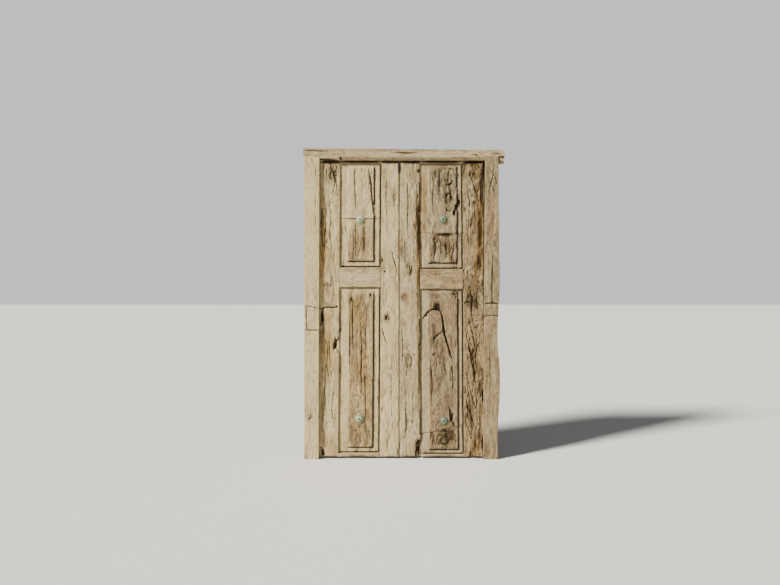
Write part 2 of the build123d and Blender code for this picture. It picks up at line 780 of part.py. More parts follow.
def left_upper_panel_parts():
    opening = left_leaf.openings()[0]
    corner = (along(left_leaf.inner_left, opening[1]), opening[1])
    with BuildPart() as top_board:
        panel(left_leaf, opening, left_upper_margins)
        keep_board(left_leaf, opening, left_upper_joint, True)
        cut_boss_hole(left_leaf, "upper")
        cut_split(corner, [(198, -39), (211, -88), (220, -154), (224, -245), (238, -315), (239, -372)],
                  7, field_front, 12)
        cut_split(corner, [(228, -60), (231, -120), (229, -200)], 4, border_front, 7)
        cut_split(corner, [(100, -44), (104, -160), (112, -300)], 4, field_front, 6)
    with BuildPart() as bottom_board:
        panel(left_leaf, opening, left_upper_margins)
        keep_board(left_leaf, opening, left_upper_joint, False)
        cut_boss_hole(left_leaf, "upper")
        cut_split(corner, [(92, -470), (96, -560), (90, -680)], 4, field_front, 6)
        cut_split(corner, [(170, -450), (176, -520), (172, -610)], 4, field_front, 6)
    return top_board.part, bottom_board.part


def left_lower_panel_part():
    opening = left_leaf.openings()[1]
    corner = (along(left_leaf.inner_left, opening[1]), opening[1])
    with BuildPart() as part:
        panel(left_leaf, opening, left_lower_margins)
        cut_boss_hole(left_leaf, "lower")
        # Gouge at the field's top left corner, with two long grooves running down from it
        cut_break(corner, [(62, -34), (100, -30), (104, -62), (92, -112), (80, -84), (70, -120), (62, -80)],
                  field_front, 9)
        cut_break(corner, [(204, -30), (236, -30), (236, -78), (220, -62)], field_front, 8)
        cut_split(corner, [(72, -110), (75, -260), (71, -420), (76, -560)], 6, field_front, 8)
        cut_split(corner, [(92, -100), (90, -220), (94, -380)], 5, field_front, 8)
        cut_split(corner, [(150, -260), (158, -420), (152, -600), (160, -760)], 5, field_front, 7)
        cut_split(corner, [(180, -640), (186, -800), (182, -980)], 4, field_front, 6)
    return part.part


def right_upper_panel_parts():
    opening = right_leaf.openings()[0]
    corner = (along(right_leaf.inner_right, opening[1]), opening[1])
    with BuildPart() as top_board:
        panel(right_leaf, opening, right_upper_margins)
        keep_board(right_leaf, opening, right_upper_joint, True)
        cut_boss_hole(right_leaf, "upper")
        # Knot hole broken out across the field's right edge, and the gnarled checks round it
        cut_break(corner, [
            (-31, -270), (-21, -294), (-40, -322), (-53, -343), (-58, -371), (-66, -357), (-59, -322),
            (-48, -310), (-38, -273)
        ], field_front, field_rise + border_rise + tongue_thickness * 0.7)
        cut_split(corner, [(-114, -144), (-90, -147), (-64, -116)], 8, field_front, 12)
        cut_split(corner, [(-120, -240), (-96, -214), (-78, -226), (-70, -258)], 6, field_front, 9)
        cut_split(corner, [(-128, -300), (-110, -330), (-88, -338), (-74, -312)], 6, field_front, 9)
        cut_split(corner, [(-214, -46), (-206, -150), (-212, -280), (-200, -360)], 5, field_front, 8)
        cut_split(corner, [(-164, -40), (-160, -130), (-168, -220)], 5, field_front, 8)
    with BuildPart() as bottom_board:
        panel(right_leaf, opening, right_upper_margins)
        keep_board(right_leaf, opening, right_upper_joint, False)
        # The lower board has worn below the upper one
        face = field_front - eps
        board(right_leaf.span(*opening), face, board_step + eps, mode=Mode.SUBTRACT)
        sunk = field_front + board_step
        cut_split(corner, [(-200, -520), (-194, -600), (-202, -690)], 5, sunk, 6)
        cut_split(corner, [(-120, -510), (-112, -590), (-118, -660)], 5, sunk, 6)
    return top_board.part, bottom_board.part


def right_lower_panel_parts():
    opening = right_leaf.openings()[1]
    corner = (along(right_leaf.inner_left, opening[1]), opening[1])
    with BuildPart() as top_board:
        panel(right_leaf, opening, right_lower_margins)
        keep_board(right_leaf, opening, right_lower_joint, True)
        cut_boss_hole(right_leaf, "lower")
        # Long wandering crack from the left border, through a lost knot, down the field
        cut_split(corner, [(14, -210), (44, -184), (58, -158), (92, -144)], 9, border_front - 2, 8)
        cut_knot(corner, (118, -131), (44, 58), field_front, 14)
        cut_split(corner, [
            (138, -146), (154, -204), (158, -288), (170, -330),
            (184, -378), (200, -414), (204, -456), (220, -492),
        ], 9, field_front, 13)
        cut_split(corner, [(156, -294), (124, -322), (90, -364)], 6, field_front, 10)
        # Broken-off top corners of the field
        cut_break(corner, [(222, -12), (268, -12), (268, -58), (250, -66), (238, -40)], field_front, 9)
        cut_break(corner, [(50, -14), (98, -14), (86, -50), (72, -96), (50, -108)], field_front, 9)
        cut_break(corner, [(201, -826), (212, -850), (243, -962), (236, -972), (206, -900)], field_front, 6)
        cut_split(corner, [(80, -560), (86, -680), (78, -820)], 5, field_front, 8)
        cut_split(corner, [(226, -540), (232, -660), (228, -760)], 5, field_front, 8)
    with BuildPart() as foot_board:
        panel(right_leaf, opening, right_lower_margins)
        keep_board(right_leaf, opening, right_lower_joint, False)
        cut_knot(corner, (150, -1066), (30, 40), field_front, 6)
        cut_split(corner, [(90, -1050), (120, -1092), (180, -1098), (214, -1056)], 6, field_front, 8)
    return top_board.part, foot_board.part


# Bosses and their fixings

def boss_plane(boss):
    """Plane through a boss's axis, its local Y pointing out of the front."""
    origin = (boss[1], front_y + field_front, boss[2])
    return Plane(origin=origin, x_dir=(1, 0, 0), z_dir=(0, 0, -1))


def boss_part(boss):
    """Round cast boss: a rolled rim, a dome inside it, and a dimple that holds the nail's head."""
    radius = boss[0]
    rim_width, rim_height = boss_rim
    bore = boss_nail_radius + joint_clearance
    dimple = boss_nail_head[0] + eps
    floor = boss_height - boss_dimple_depth
    foot_of_dome = (radius - rim_width, rim_height)
    with BuildPart() as part:
        with BuildSketch(boss_plane(boss)):
            with BuildLine():
                Line((bore, 0), (radius, 0))
                Polyline((radius, 0), (radius - rim_width * 0.15, rim_height), foot_of_dome)
                ThreePointArc(foot_of_dome, (radius * 0.48, boss_height * 0.87), (dimple, boss_height))
                Polyline((dimple, boss_height), (dimple, floor), (bore, floor), (bore, 0))
            make_face()
        revolve(axis=Axis((boss[1], 0, boss[2]), (0, -1, 0)))
    return part.part


def boss_nails(bosses):
    """A nail through each boss and panel, its head sunk in the dimple."""
    floor = boss_height - boss_dimple_depth
    shank = floor + tongue_back - field_front + rove_thickness + eps
    with BuildPart() as nails:
        for boss in bosses:
            seat = front_y + field_front - floor
            with Locations(Plane(origin=(boss[1], seat, boss[2]), z_dir=(0, -1, 0))):
                Cylinder(boss_nail_radius, shank, align=(Align.CENTER, Align.CENTER, Align.MAX))
                Cone(boss_nail_head[0], boss_nail_radius, boss_nail_head[1],
                     align=(Align.CENTER, Align.CENTER, Align.MIN))
    return nails.part


def boss_roves(bosses):
    """Square iron washers that the nails are riveted over on the back of the panels."""
    with BuildPart() as roves:
        with BuildSketch(face_plane(tongue_back)):
            with Locations(*[(boss[1], boss[2]) for boss in bosses]):
                Rectangle(rove_side, rove_side)
                Circle(boss_nail_radius + joint_clearance, mode=Mode.SUBTRACT)
        extrude(amount=-rove_thickness)
    return roves.part


# Slide bolt

bolt_left = right_meeting_edge + bolt_end_inset
bolt_centre_y = front_y + frame_depth + bolt_lift + bolt_radius
staple_x = [right_meeting_edge + place for place in staple_places]
keeper_x = left_meeting_edge - keeper_place
staple_nail_places = {"left": [keeper_x], "right": staple_x}


def slide_bolt_part():
    """Round iron rod with a turned-out handle."""
    handle_x = right_meeting_edge + handle_place
    handle_reach = frame_depth + bolt_reach + front_y - bolt_centre_y
    with BuildPart() as rod:
        with Locations(Plane(origin=(bolt_left, bolt_centre_y, bolt_height), z_dir=(1, 0, 0))):
            Cylinder(bolt_radius, bolt_length, align=(Align.CENTER, Align.CENTER, Align.MIN))
        chamfer(rod.edges().filter_by(GeomType.CIRCLE), 1.5)
        with Locations(Plane(origin=(handle_x, bolt_centre_y, bolt_height), z_dir=(0, 1, 0))):
            Cylinder(handle_radius, handle_reach, align=(Align.CENTER, Align.CENTER, Align.MIN))
        chamfer(rod.edges().filter_by(GeomType.CIRCLE).sort_by(Axis.Y)[-1], 1.5)
    return rod.part


def staple_part(x, clearance):
    """Iron strap bent square over the rod, its two feet flat on the leaf."""
    inner = bolt_radius + clearance
    outer = inner + staple_thickness
    back = front_y + frame_depth
    foot = outer + staple_foot
    with BuildPart() as staple:
        with BuildSketch(Plane.YZ.offset(x - staple_width / 2)) as section:
            loop = box_corners(back, bolt_centre_y + outer, bolt_height - outer, bolt_height + outer)
            Polygon(*loop, align=None)
            fillet(section.vertices().group_by(Axis.Y)[-1], staple_bend)
            feet = box_corners(back, back + staple_thickness, bolt_height - foot, bolt_height + foot)
            Polygon(*feet, align=None)
            channel = box_corners(back, bolt_centre_y + inner, bolt_height - inner, bolt_height + inner)
            Polygon(*channel, align=None, mode=Mode.SUBTRACT)
        extrude(amount=staple_width)
        with Locations(*nail_planes([x])):
            hole = nail_side + 2 * joint_clearance
            Box(hole, hole, 3 * staple_thickness, mode=Mode.SUBTRACT)
    return staple.part


def nail_planes(places):
    """Planes on the staples' feet, one for each nail."""
    face = front_y + frame_depth + staple_thickness
    step = bolt_radius + keeper_clearance + staple_thickness + staple_foot / 2
    return [
        Plane(origin=(x, face, bolt_height + sign * step), x_dir=(1, 0, 0), z_dir=(0, 1, 0))
        for x in places for sign in (-1, 1)
    ]


def staple_nails(places):
    """Square cut nails with low faceted heads."""
    with BuildPart() as nails:
        for plane in nail_planes(places):
            with BuildSketch(plane):
                Rectangle(nail_head_side, nail_head_side)
            extrude(amount=nail_head_height, taper=40)
            with BuildSketch(plane):
                Rectangle(nail_side, nail_side)
            extrude(amount=-nail_length)
    return nails.part


def cut_nail_holes(places):
    for plane in nail_planes(places):
        with BuildSketch(plane) as section:
            Rectangle(nail_side + 2 * joint_clearance, nail_side + 2 * joint_clearance)
        extrude(section.sketch, amount=-nail_length - joint_clearance, mode=Mode.SUBTRACT)


def with_nail_holes(blank, leaf):
    """A leaf's stile or rail with holes for the staple nails, wherever the nails run through it."""
    with BuildPart() as part:
        add(blank)
        cut_nail_holes(staple_nail_places[leaf.side])
    return part.part


def pegs(places):
    with BuildPart() as part:
        peg_shapes(places, peg_radius, peg_depth, Mode.ADD)
    return part.part


# The frame
save(left_jamb_part(), "left_jamb")
save(right_jamb_part(), "right_jamb")
save(head_part(), "head")
save(pegs(frame_peg_places()), "frame_pegs")

# The leaves
save(left_hinge_stile_part(), "left_hinge_stile")
save(with_nail_holes(left_meeting_stile_part(), left_leaf), "left_meeting_stile")
save(with_nail_holes(right_meeting_stile_part(), right_leaf), "right_meeting_stile")
save(right_hinge_stile_part(), "right_hinge_stile")
for leaf in (left_leaf, right_leaf):
    for name, part in rails(leaf).items():
        save(with_nail_holes(part, leaf), f"{leaf.side}_{name}")
    save(pegs(leaf.pegs()), f"{leaf.side}_leaf_pegs")

# The panels
for name, part in zip(("top", "bottom"), left_upper_panel_parts()):
    save(part, f"left_upper_panel_{name}_board")
save(left_lower_panel_part(), "left_lower_panel")
for name, part in zip(("top", "bottom"), right_upper_panel_parts()):
    save(part, f"right_upper_panel_{name}_board")
for name, part in zip(("top", "foot"), right_lower_panel_parts()):
    save(part, f"right_lower_panel_{name}_board")

# Bosses and their fixings
for leaf in (left_leaf, right_leaf):
    bosses = leaf.boss("upper"), leaf.boss("lower")
    save(boss_part(bosses[0]), f"{leaf.side}_upper_boss")
    save(boss_part(bosses[1]), f"{leaf.side}_lower_boss")
    save(boss_nails(bosses), f"{leaf.side}_boss_nails")
    save(boss_roves(bosses), f"{leaf.side}_boss_roves")

# Hinges
for hinge in (left_hinge, right_hinge):
    for place, z in zip(("bottom", "top"), hinge_heights):
        save(hinge_plate(hinge, z, hinge.jamb), f"{hinge.side}_{place}_hinge_frame_plate")
        save(hinge_plate(hinge, z, -hinge.jamb), f"{hinge.side}_{place}_hinge_leaf_plate")
    save(hinge_pins(hinge), f"{hinge.side}_hinge_pins")

# The slide bolt
save(slide_bolt_part(), "slide_bolt")
for place, x in zip(("inner", "outer"), staple_x):
    save(staple_part(x, bolt_clearance), f"bolt_{place}_staple")
save(staple_nails(staple_x), "bolt_staple_nails")
save(staple_part(keeper_x, keeper_clearance), "bolt_keeper")
save(staple_nails([keeper_x]), "bolt_keeper_nails")
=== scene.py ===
import json
import math

import bmesh
import bpy
import numpy as np
from bpy.props import FloatProperty, FloatVectorProperty, PointerProperty
from bpy.types import Operator, Panel, PropertyGroup
from mathutils import Matrix, Vector
from mathutils.kdtree import KDTree


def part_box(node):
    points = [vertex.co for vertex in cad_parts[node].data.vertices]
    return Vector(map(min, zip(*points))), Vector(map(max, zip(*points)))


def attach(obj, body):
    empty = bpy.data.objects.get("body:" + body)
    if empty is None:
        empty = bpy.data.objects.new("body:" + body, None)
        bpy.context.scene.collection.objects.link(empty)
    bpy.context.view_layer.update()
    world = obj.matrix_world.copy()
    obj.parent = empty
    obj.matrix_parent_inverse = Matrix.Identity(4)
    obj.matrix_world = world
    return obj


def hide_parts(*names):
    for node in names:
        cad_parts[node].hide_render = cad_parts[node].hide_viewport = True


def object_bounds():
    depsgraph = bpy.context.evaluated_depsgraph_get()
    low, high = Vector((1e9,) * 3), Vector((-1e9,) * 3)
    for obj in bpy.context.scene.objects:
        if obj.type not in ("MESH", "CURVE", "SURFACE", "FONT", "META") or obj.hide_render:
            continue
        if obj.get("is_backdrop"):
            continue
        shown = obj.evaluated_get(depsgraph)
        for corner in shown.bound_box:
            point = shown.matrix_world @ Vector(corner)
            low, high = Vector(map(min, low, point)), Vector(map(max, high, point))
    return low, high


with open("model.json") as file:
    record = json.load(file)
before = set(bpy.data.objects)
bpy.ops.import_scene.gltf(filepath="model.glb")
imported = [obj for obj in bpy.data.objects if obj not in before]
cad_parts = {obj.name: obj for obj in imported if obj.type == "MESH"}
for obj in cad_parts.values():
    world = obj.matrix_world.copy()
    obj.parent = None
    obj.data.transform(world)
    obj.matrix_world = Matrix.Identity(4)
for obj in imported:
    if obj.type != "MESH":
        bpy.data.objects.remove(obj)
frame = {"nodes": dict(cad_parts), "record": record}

bl_info = {
    "name": "Weathered two-leaf door",
    "version": (1, 0, 0),
    "blender": (4, 5, 0),
    "location": "3D View > Sidebar > Door",
    "description": "Carves and colours the old boards, bosses and ironwork of a two-leaf door",
    "category": "Object",
}

record = frame["record"]
body_of = {node: body for body, nodes in record["behaviour"]["bodies"].items() for node in nodes}
slot_of = {part["node"]: part["material_slot"] for part in record["subparts"]}
mm_per_m = 1000


def linear(*levels):
    """A colour given in the usual 0 to 255 levels, as the linear numbers that shaders use."""
    shares = [level / 255 for level in levels]
    return tuple(s / 12.92 if s <= 0.04045 else ((s + 0.055) / 1.055) ** 2.4 for s in shares)


def colour(name, description, levels):
    """A colour setting, whose default is given in 0 to 255 levels."""
    return FloatVectorProperty(
        name=name, description=description, subtype="COLOR", size=3, min=0.0, max=1.0, default=linear(*levels)
    )


def metres(name, description, start, low, high):
    """A setting for a length in metres."""
    return FloatProperty(
        name=name, description=description, default=start, min=low, max=high,
        subtype="DISTANCE", unit="LENGTH"
    )


class TimberSettings(PropertyGroup):
    pale: colour("Bleached timber", "Sun-bleached faces and ridges", (204, 184, 138))
    tan: colour("Bare timber", "Timber that keeps its own colour", (180, 154, 110))
    brown: colour("Stain", "Brown water stain along edges and knots", (92, 74, 42))
    ochre: colour("Ochre stain", "Orange tan of timber that was kept from the sun", (172, 138, 72))
    rust: colour("Rusty stain", "Reddish stain near the floor and in torn places", (132, 86, 42))
    film: colour("Film", "Olive grey film on the timber that has stood in the damp", (152, 138, 106))
    grime: colour("Grime", "Grey-brown dirt in hollows", (98, 84, 54))
    # Also the colour of the painted shade in cracks, hollows and corners, and of the painted shadow
    dark_and_shade: colour("Crevice", "The bottom of cracks and worm holes", (38, 25, 12))
    across_step: metres("Step across", "Width of the carved cells across the grain", 0.0036, 0.002, 0.02)
    along_step: metres("Step along", "Length of the carved cells along the grain", 0.009, 0.004, 0.05)
    erosion: metres("Erosion", "Depth of the grooves between the growth rings", 0.0042, 0.0, 0.008)
    wear: metres("Edge wear", "How far the arrises are worn back", 0.0018, 0.0, 0.005)


class MetalSettings(PropertyGroup):
    verdigris: colour("Verdigris", "Pale green crust on the bosses", (184, 190, 148))
    patina: colour("Patina", "Dull darker green between the crust", (98, 116, 90))
    bronze: colour("Bare bronze", "Bronze where the crust has worn off", (92, 78, 52))
    iron: colour("Iron", "Dark iron of the hinges and the bolt", (62, 54, 48))
    iron_rust: colour("Iron rust", "Rust on the ironwork", (120, 70, 40))


class StageSettings(PropertyGroup):
    floor: colour("Floor", "Plain pale floor", (206, 204, 200))
    backdrop: colour("Backdrop", "Plain pale grey behind the door", (232, 233, 237))
    key_strength: FloatProperty(
        name="Key light", description="Strength of the soft light from the upper left",
        default=10.4, min=0.0, soft_max=30.0
    )
    fill: FloatProperty(
        name="Fill light", description="Strength of the even light from all round",
        default=0.27, min=0.0, soft_max=2.0
    )


class Chance:
    """Smooth random heights over a plane, between 0 and 1 and the same on every run."""

    def __init__(self, seed):
        self.table = np.random.default_rng(seed).random((256, 256))

    def __call__(self, x, y):
        left = np.floor(x).astype(int)
        foot = np.floor(y).astype(int)
        across = x - left
        up = y - foot
        across = across * across * (3 - 2 * across)
        up = up * up * (3 - 2 * up)

        def corner(i, j):
            return self.table[(left + i) % 256, (foot + j) % 256]

        low = corner(0, 0) * (1 - across) + corner(1, 0) * across
        high = corner(0, 1) * (1 - across) + corner(1, 1) * across
        return low * (1 - up) + high * up

    def layers(self, x, y, count=3, keep=0.5):
        """Several sizes of the same noise, each weaker than the one before."""
        total, weight = 0.0, 0.0
        for i in range(count):
            share = keep ** i
            total = total + share * self(x * 2 ** i + 17.3 * i, y * 2 ** i + 5.1 * i)
            weight += share
        return total / weight


def smooth(value, low, high):
    """0 below low, 1 above high, and a smooth rise between them."""
    share = np.clip((value - low) / (high - low), 0, 1)
    return share * share * (3 - 2 * share)


def away_from_line(x, z, points):
    """Distance of each place from a broken line, and how far along the line it is, from 0 to 1."""
    nearest = np.full(len(x), np.inf)
    place = np.zeros(len(x))
    count = len(points) - 1
    for i in range(count):
        (x0, z0), (x1, z1) = points[i], points[i + 1]
        run = (x1 - x0) ** 2 + (z1 - z0) ** 2
        share = np.clip(((x - x0) * (x1 - x0) + (z - z0) * (z1 - z0)) / run, 0, 1)
        gap = np.hypot(x - x0 - share * (x1 - x0), z - z0 - share * (z1 - z0))
        closer = gap < nearest
        nearest = np.where(closer, gap, nearest)
        place = np.where(closer, (i + share) / count, place)
    return nearest, place


class Board:
    """One board and the marks that age has left on its front. Lengths are in millimetres,
    and a place is (X, Z), as seen from the front, with Z up from the floor. A nudge moves the
    board a hair towards its neighbour, so that no light shows through the joint.

    A crack is its width, its depth and the places that it runs through. Every other mark is its
    place, width and height, and then: for a knot its depth, for a hollow its depth and how many
    degrees it leans, for a gnarled patch or a stain its strength. Stains come in lists by kind, and one kind
    is not a stain but painted shadow, under the head, above the floor, in deep gaps and under proud boards."""

    def __init__(
        self, node, seed, rough, aged, lying=False, nudge=(0, 0),
        cracks=(), knots=(), hollows=(), gnarls=(), **stains
    ):
        self.node = node
        self.seed = seed
        self.rough = rough
        self.aged = aged
        self.lying = lying
        self.nudge = Vector((nudge[0], 0, nudge[1])) / mm_per_m
        self.cracks = cracks
        self.knots = knots
        self.hollows = hollows
        self.gnarls = gnarls
        self.stains = stains

    def by_grain(self, x, z):
        """The same place as its distances across and along the grain."""
        return (z, x) if self.lying else (x, z)

    def gnarled(self, x, z):
        """For each gnarled patch, how near every place is to it, from 0 to 1, and its strength."""
        for patch_x, patch_z, width, height, strength in self.gnarls:
            yield np.exp(-((x - patch_x) / width) ** 2 - ((z - patch_z) / height) ** 2), strength

    def flow(self, x, z):
        """How far the grain is pushed sideways, round knots and in gnarled patches."""
        across, along = self.by_grain(x, z)
        chance = Chance(self.seed + 1)
        push = 16 * (chance(across / 90, along / 420) - 0.5)
        for knot_x, knot_z, width, height, _ in self.knots:
            knot_across, knot_along = self.by_grain(knot_x, knot_z)
            near = np.exp(-(((along - knot_along) / (1.5 * height)) ** 2))
            side = (across - knot_across) / width
            push = push - near * width * 0.9 * side / (0.4 + side * side)
        for near, strength in self.gnarled(x, z):
            push = push + near * strength * (chance.layers(across / 45 + 9, along / 60, 2) - 0.5) * 2
        return push

    def weather(self, x, z, flow, chance):
        """What is worn away between the growth rings, and how dark each place is, with dirt and painted shade
        in the grooves and checks.
        """
        across, along = self.by_grain(x, z)
        ring = across + flow
        patch = smooth(chance.layers(ring / 70 + 40, along / 380, 2), 0.3, 0.7)
        rough = self.rough * (0.35 + 0.65 * patch)
        for near, strength in self.gnarled(x, z):
            rough = rough + near * 0.035 * strength

        def lines(width, length, shift, up, thin):
            return smooth(1 - np.abs(2 * chance(ring / width + shift, along / length + up) - 1), thin, 1.0)

        grooves = lines(9, 210, 20, 0, 0.78) * smooth(chance(ring / 22 + 70, along / 90), 0.3, 0.65)
        fine = lines(5.2, 85, 60, 0, 0.8) * smooth(chance(ring / 34 + 33, along / 60), 0.42, 0.7)
        checks = lines(17, 170, 9, 3, 0.88) * smooth(chance(ring / 26 + 80, along / 75), 0.5, 0.68)
        lumps = smooth(chance.layers(ring / 36 + 30, along / 80 + 11, 4, 0.66), 0.36, 0.68)
        worn = rough * (0.3 * grooves + 0.25 * fine + 0.5 * checks + 1.5 * lumps)
        return worn, np.clip(rough * (0.34 * grooves + 0.3 * fine + 0.8 * checks), 0, 1)

    def cracked(self, x, z, chance):
        """Depth of each crack and the dirt and painted shade in it; a crack wavers and thins out towards its
        ends.
        """
        across, along = self.by_grain(x, z)
        for width, depth, *points in self.cracks:
            gap, place = away_from_line(x, z, points)
            gap = gap + 3.0 * (chance(along / 9 + 3, across / 9) - 0.5) * np.minimum(1, gap / width + 0.3)
            taper = 0.35 + 0.65 * np.sin(np.pi * np.clip(place, 0.02, 0.98))
            shape = smooth(-gap, -width * taper, -0.25 * width * taper)
            yield depth * shape, shape

    def knotted(self, x, z, chance):
        """Depth of each knot, and how dark it is from its own dark rings and painted shade in its pit."""
        for knot_x, knot_z, width, height, depth in self.knots:
            ring = np.hypot((x - knot_x) / width, (z - knot_z) / height) * 2
            rings = 0.5 + 0.5 * np.cos(ring * 9 + 3 * chance(x / 20, z / 20))
            inside = smooth(-ring, -1.15, -0.9)
            sunk = inside * depth * (0.35 + 0.65 * smooth(-ring, -0.75, -0.3))
            yield sunk, inside * (0.35 + 0.35 * rings) * (0.6 + 0.05 * depth)

    def hollowed(self, x, z, chance):
        """Depth of each hollow and the painted shade in it, darker the deeper it is; a hollow has a ragged
        outline.
        """
        for middle_x, middle_z, width, height, depth, lean in self.hollows:
            c, s = math.cos(math.radians(lean)), math.sin(math.radians(lean))
            a = (x - middle_x) * c + (z - middle_z) * s
            b = (z - middle_z) * c - (x - middle_x) * s
            ring = np.hypot(a / width, b / height) * 2 + 0.5 * (chance.layers(x / 16 + 5, z / 28, 3) - 0.5)
            shape = smooth(-ring, -1.05, -0.45)
            yield depth * shape, np.clip(depth / 9, 0, 1) * shape

    def carve(self, x, z):
        """What is worn away and what is cut away at each place, its dirt and painted shade, and the grain's
        flow.
        """
        chance = Chance(self.seed)
        flow = self.flow(x, z)
        worn, dirt = self.weather(x, z, flow, chance)
        cut = np.zeros(len(x))
        for marks in (self.cracked, self.knotted, self.hollowed):
            for depth, dirty in marks(x, z, chance):
                cut = np.maximum(cut, depth)
                dirt = np.maximum(dirt, dirty)
        return worn, cut, dirt, flow

    def stain(self, x, z, kind):
        """Strength of one kind of stain at each place. The painted shadow has the cleanest outline."""
        chance = Chance(self.seed + 2)
        ragged = 0.3 if kind == "painted_shadow" else 0.9
        total = np.zeros(len(x))
        for middle_x, middle_z, width, height, strength in self.stains.get(kind, ()):
            ring = np.hypot((x - middle_x) / width, (z - middle_z) / height) * 2
            ring = ring + ragged * (chance.layers(x / 24, z / 75, 3) - 0.5)
            total = np.maximum(total, strength * smooth(-ring, -1.3, -0.2))
        return total


def shadow_under_head(middle, width):
    """Painted shadow on the top of a leaf's board, where the head overhangs it."""
    return (middle, 2085, width, 32, 1.0)


def shadow_above_floor(middle, width):
    """Painted shadow on the foot of a leaf's board, where the gap above the floor is in shade."""
    return (middle, 11, width, 18, 0.85)


frame_boards = [
    Board(
        "left_jamb", seed=3, rough=0.35, aged=0.08, cracks=[
            (2.5, 2.5, (-681, 1070), (-682, 990), (-680, 902)),
            (3, 2, (-692, 1070), (-643, 1071), (-597, 1068)),
            (2.5, 2, (-681, 902), (-636, 904), (-601, 900)),
            (2.5, 2, (-668, 339), (-669, 304), (-659, 283), (-640, 290), (-636, 332)),
            (2.2, 2, (-615, 2026), (-619, 1816), (-613, 1564)),
        ], hollows=[(-650, 136, 35, 63, 1.5, 0)],
        brown=[(-685, 52, 49, 182, 0.5), (-615, 1116, 35, 420, 0.3)], rust=[(-692, 10, 42, 63, 0.4)],
        grime=[(-664, 332, 70, 112, 0.35)], pale=[(-650, 1536, 70, 840, 0.6)],
    ),
    Board(
        "right_jamb", seed=13, rough=0.75, aged=0.58, cracks=[
            (3.5, 4, (620, 1431), (617, 1312), (622, 1186), (617, 1046)),
            (3, 3, (568, 1091), (617, 1093), (666, 1088)),
            (2.5, 2.5, (575, 1005), (624, 1008), (666, 1002)),
            (4, 5, (589, 2061), (617, 2012), (642, 1970), (652, 1914)),
            (3.5, 4, (596, 1956), (624, 1907), (645, 1851)), (3, 3, (603, 836), (601, 696), (606, 500)),
        ], knots=[(638, 1508, 28, 49, 2.0)], hollows=[(656, 1382, 28, 84, 3, 0), (596, 52, 49, 84, 3, 0)],
        brown=[(656, 1536, 42, 420, 0.5), (659, 836, 35, 840, 0.45), (579, 80, 42, 168, 0.5)],
        rust=[(589, 31, 49, 70, 0.5)], grime=[(582, 1991, 35, 280, 0.4)],
    ),
    Board(
        "head", seed=23, rough=0.4, aged=0.28, lying=True, cracks=[
            (2.5, 2.5, (-702, 2159), (-629, 2160), (-531, 2156)),
            (2.5, 3, (486, 2138), (509, 2122), (533, 2111)), (2.2, 2, (-62, 2148), (8, 2146), (92, 2148)),
            (2.2, 2, (-702, 2124), (-671, 2125), (-636, 2122)),
        ], hollows=[(8, 2146, 154, 18, 1.5, 0)],
        brown=[(-307, 2103, 420, 18, 0.4), (-517, 2104, 238, 18, 0.6), (43, 2101, 1330, 18, 0.6)], grime=[
            # The grime at X 680 is painted shade on the horn's set-back lower end
            (8, 2147, 182, 21, 0.75), (-447, 2169, 630, 17, 0.35), (680, 2089, 56, 42, 0.8),
            (1, 2169, 1470, 35, 0.45),
        ], pale=[(113, 2124, 1120, 28, 0.5)], painted_shadow=[(680, 2082, 56, 35, 0.5)],
    ),
]

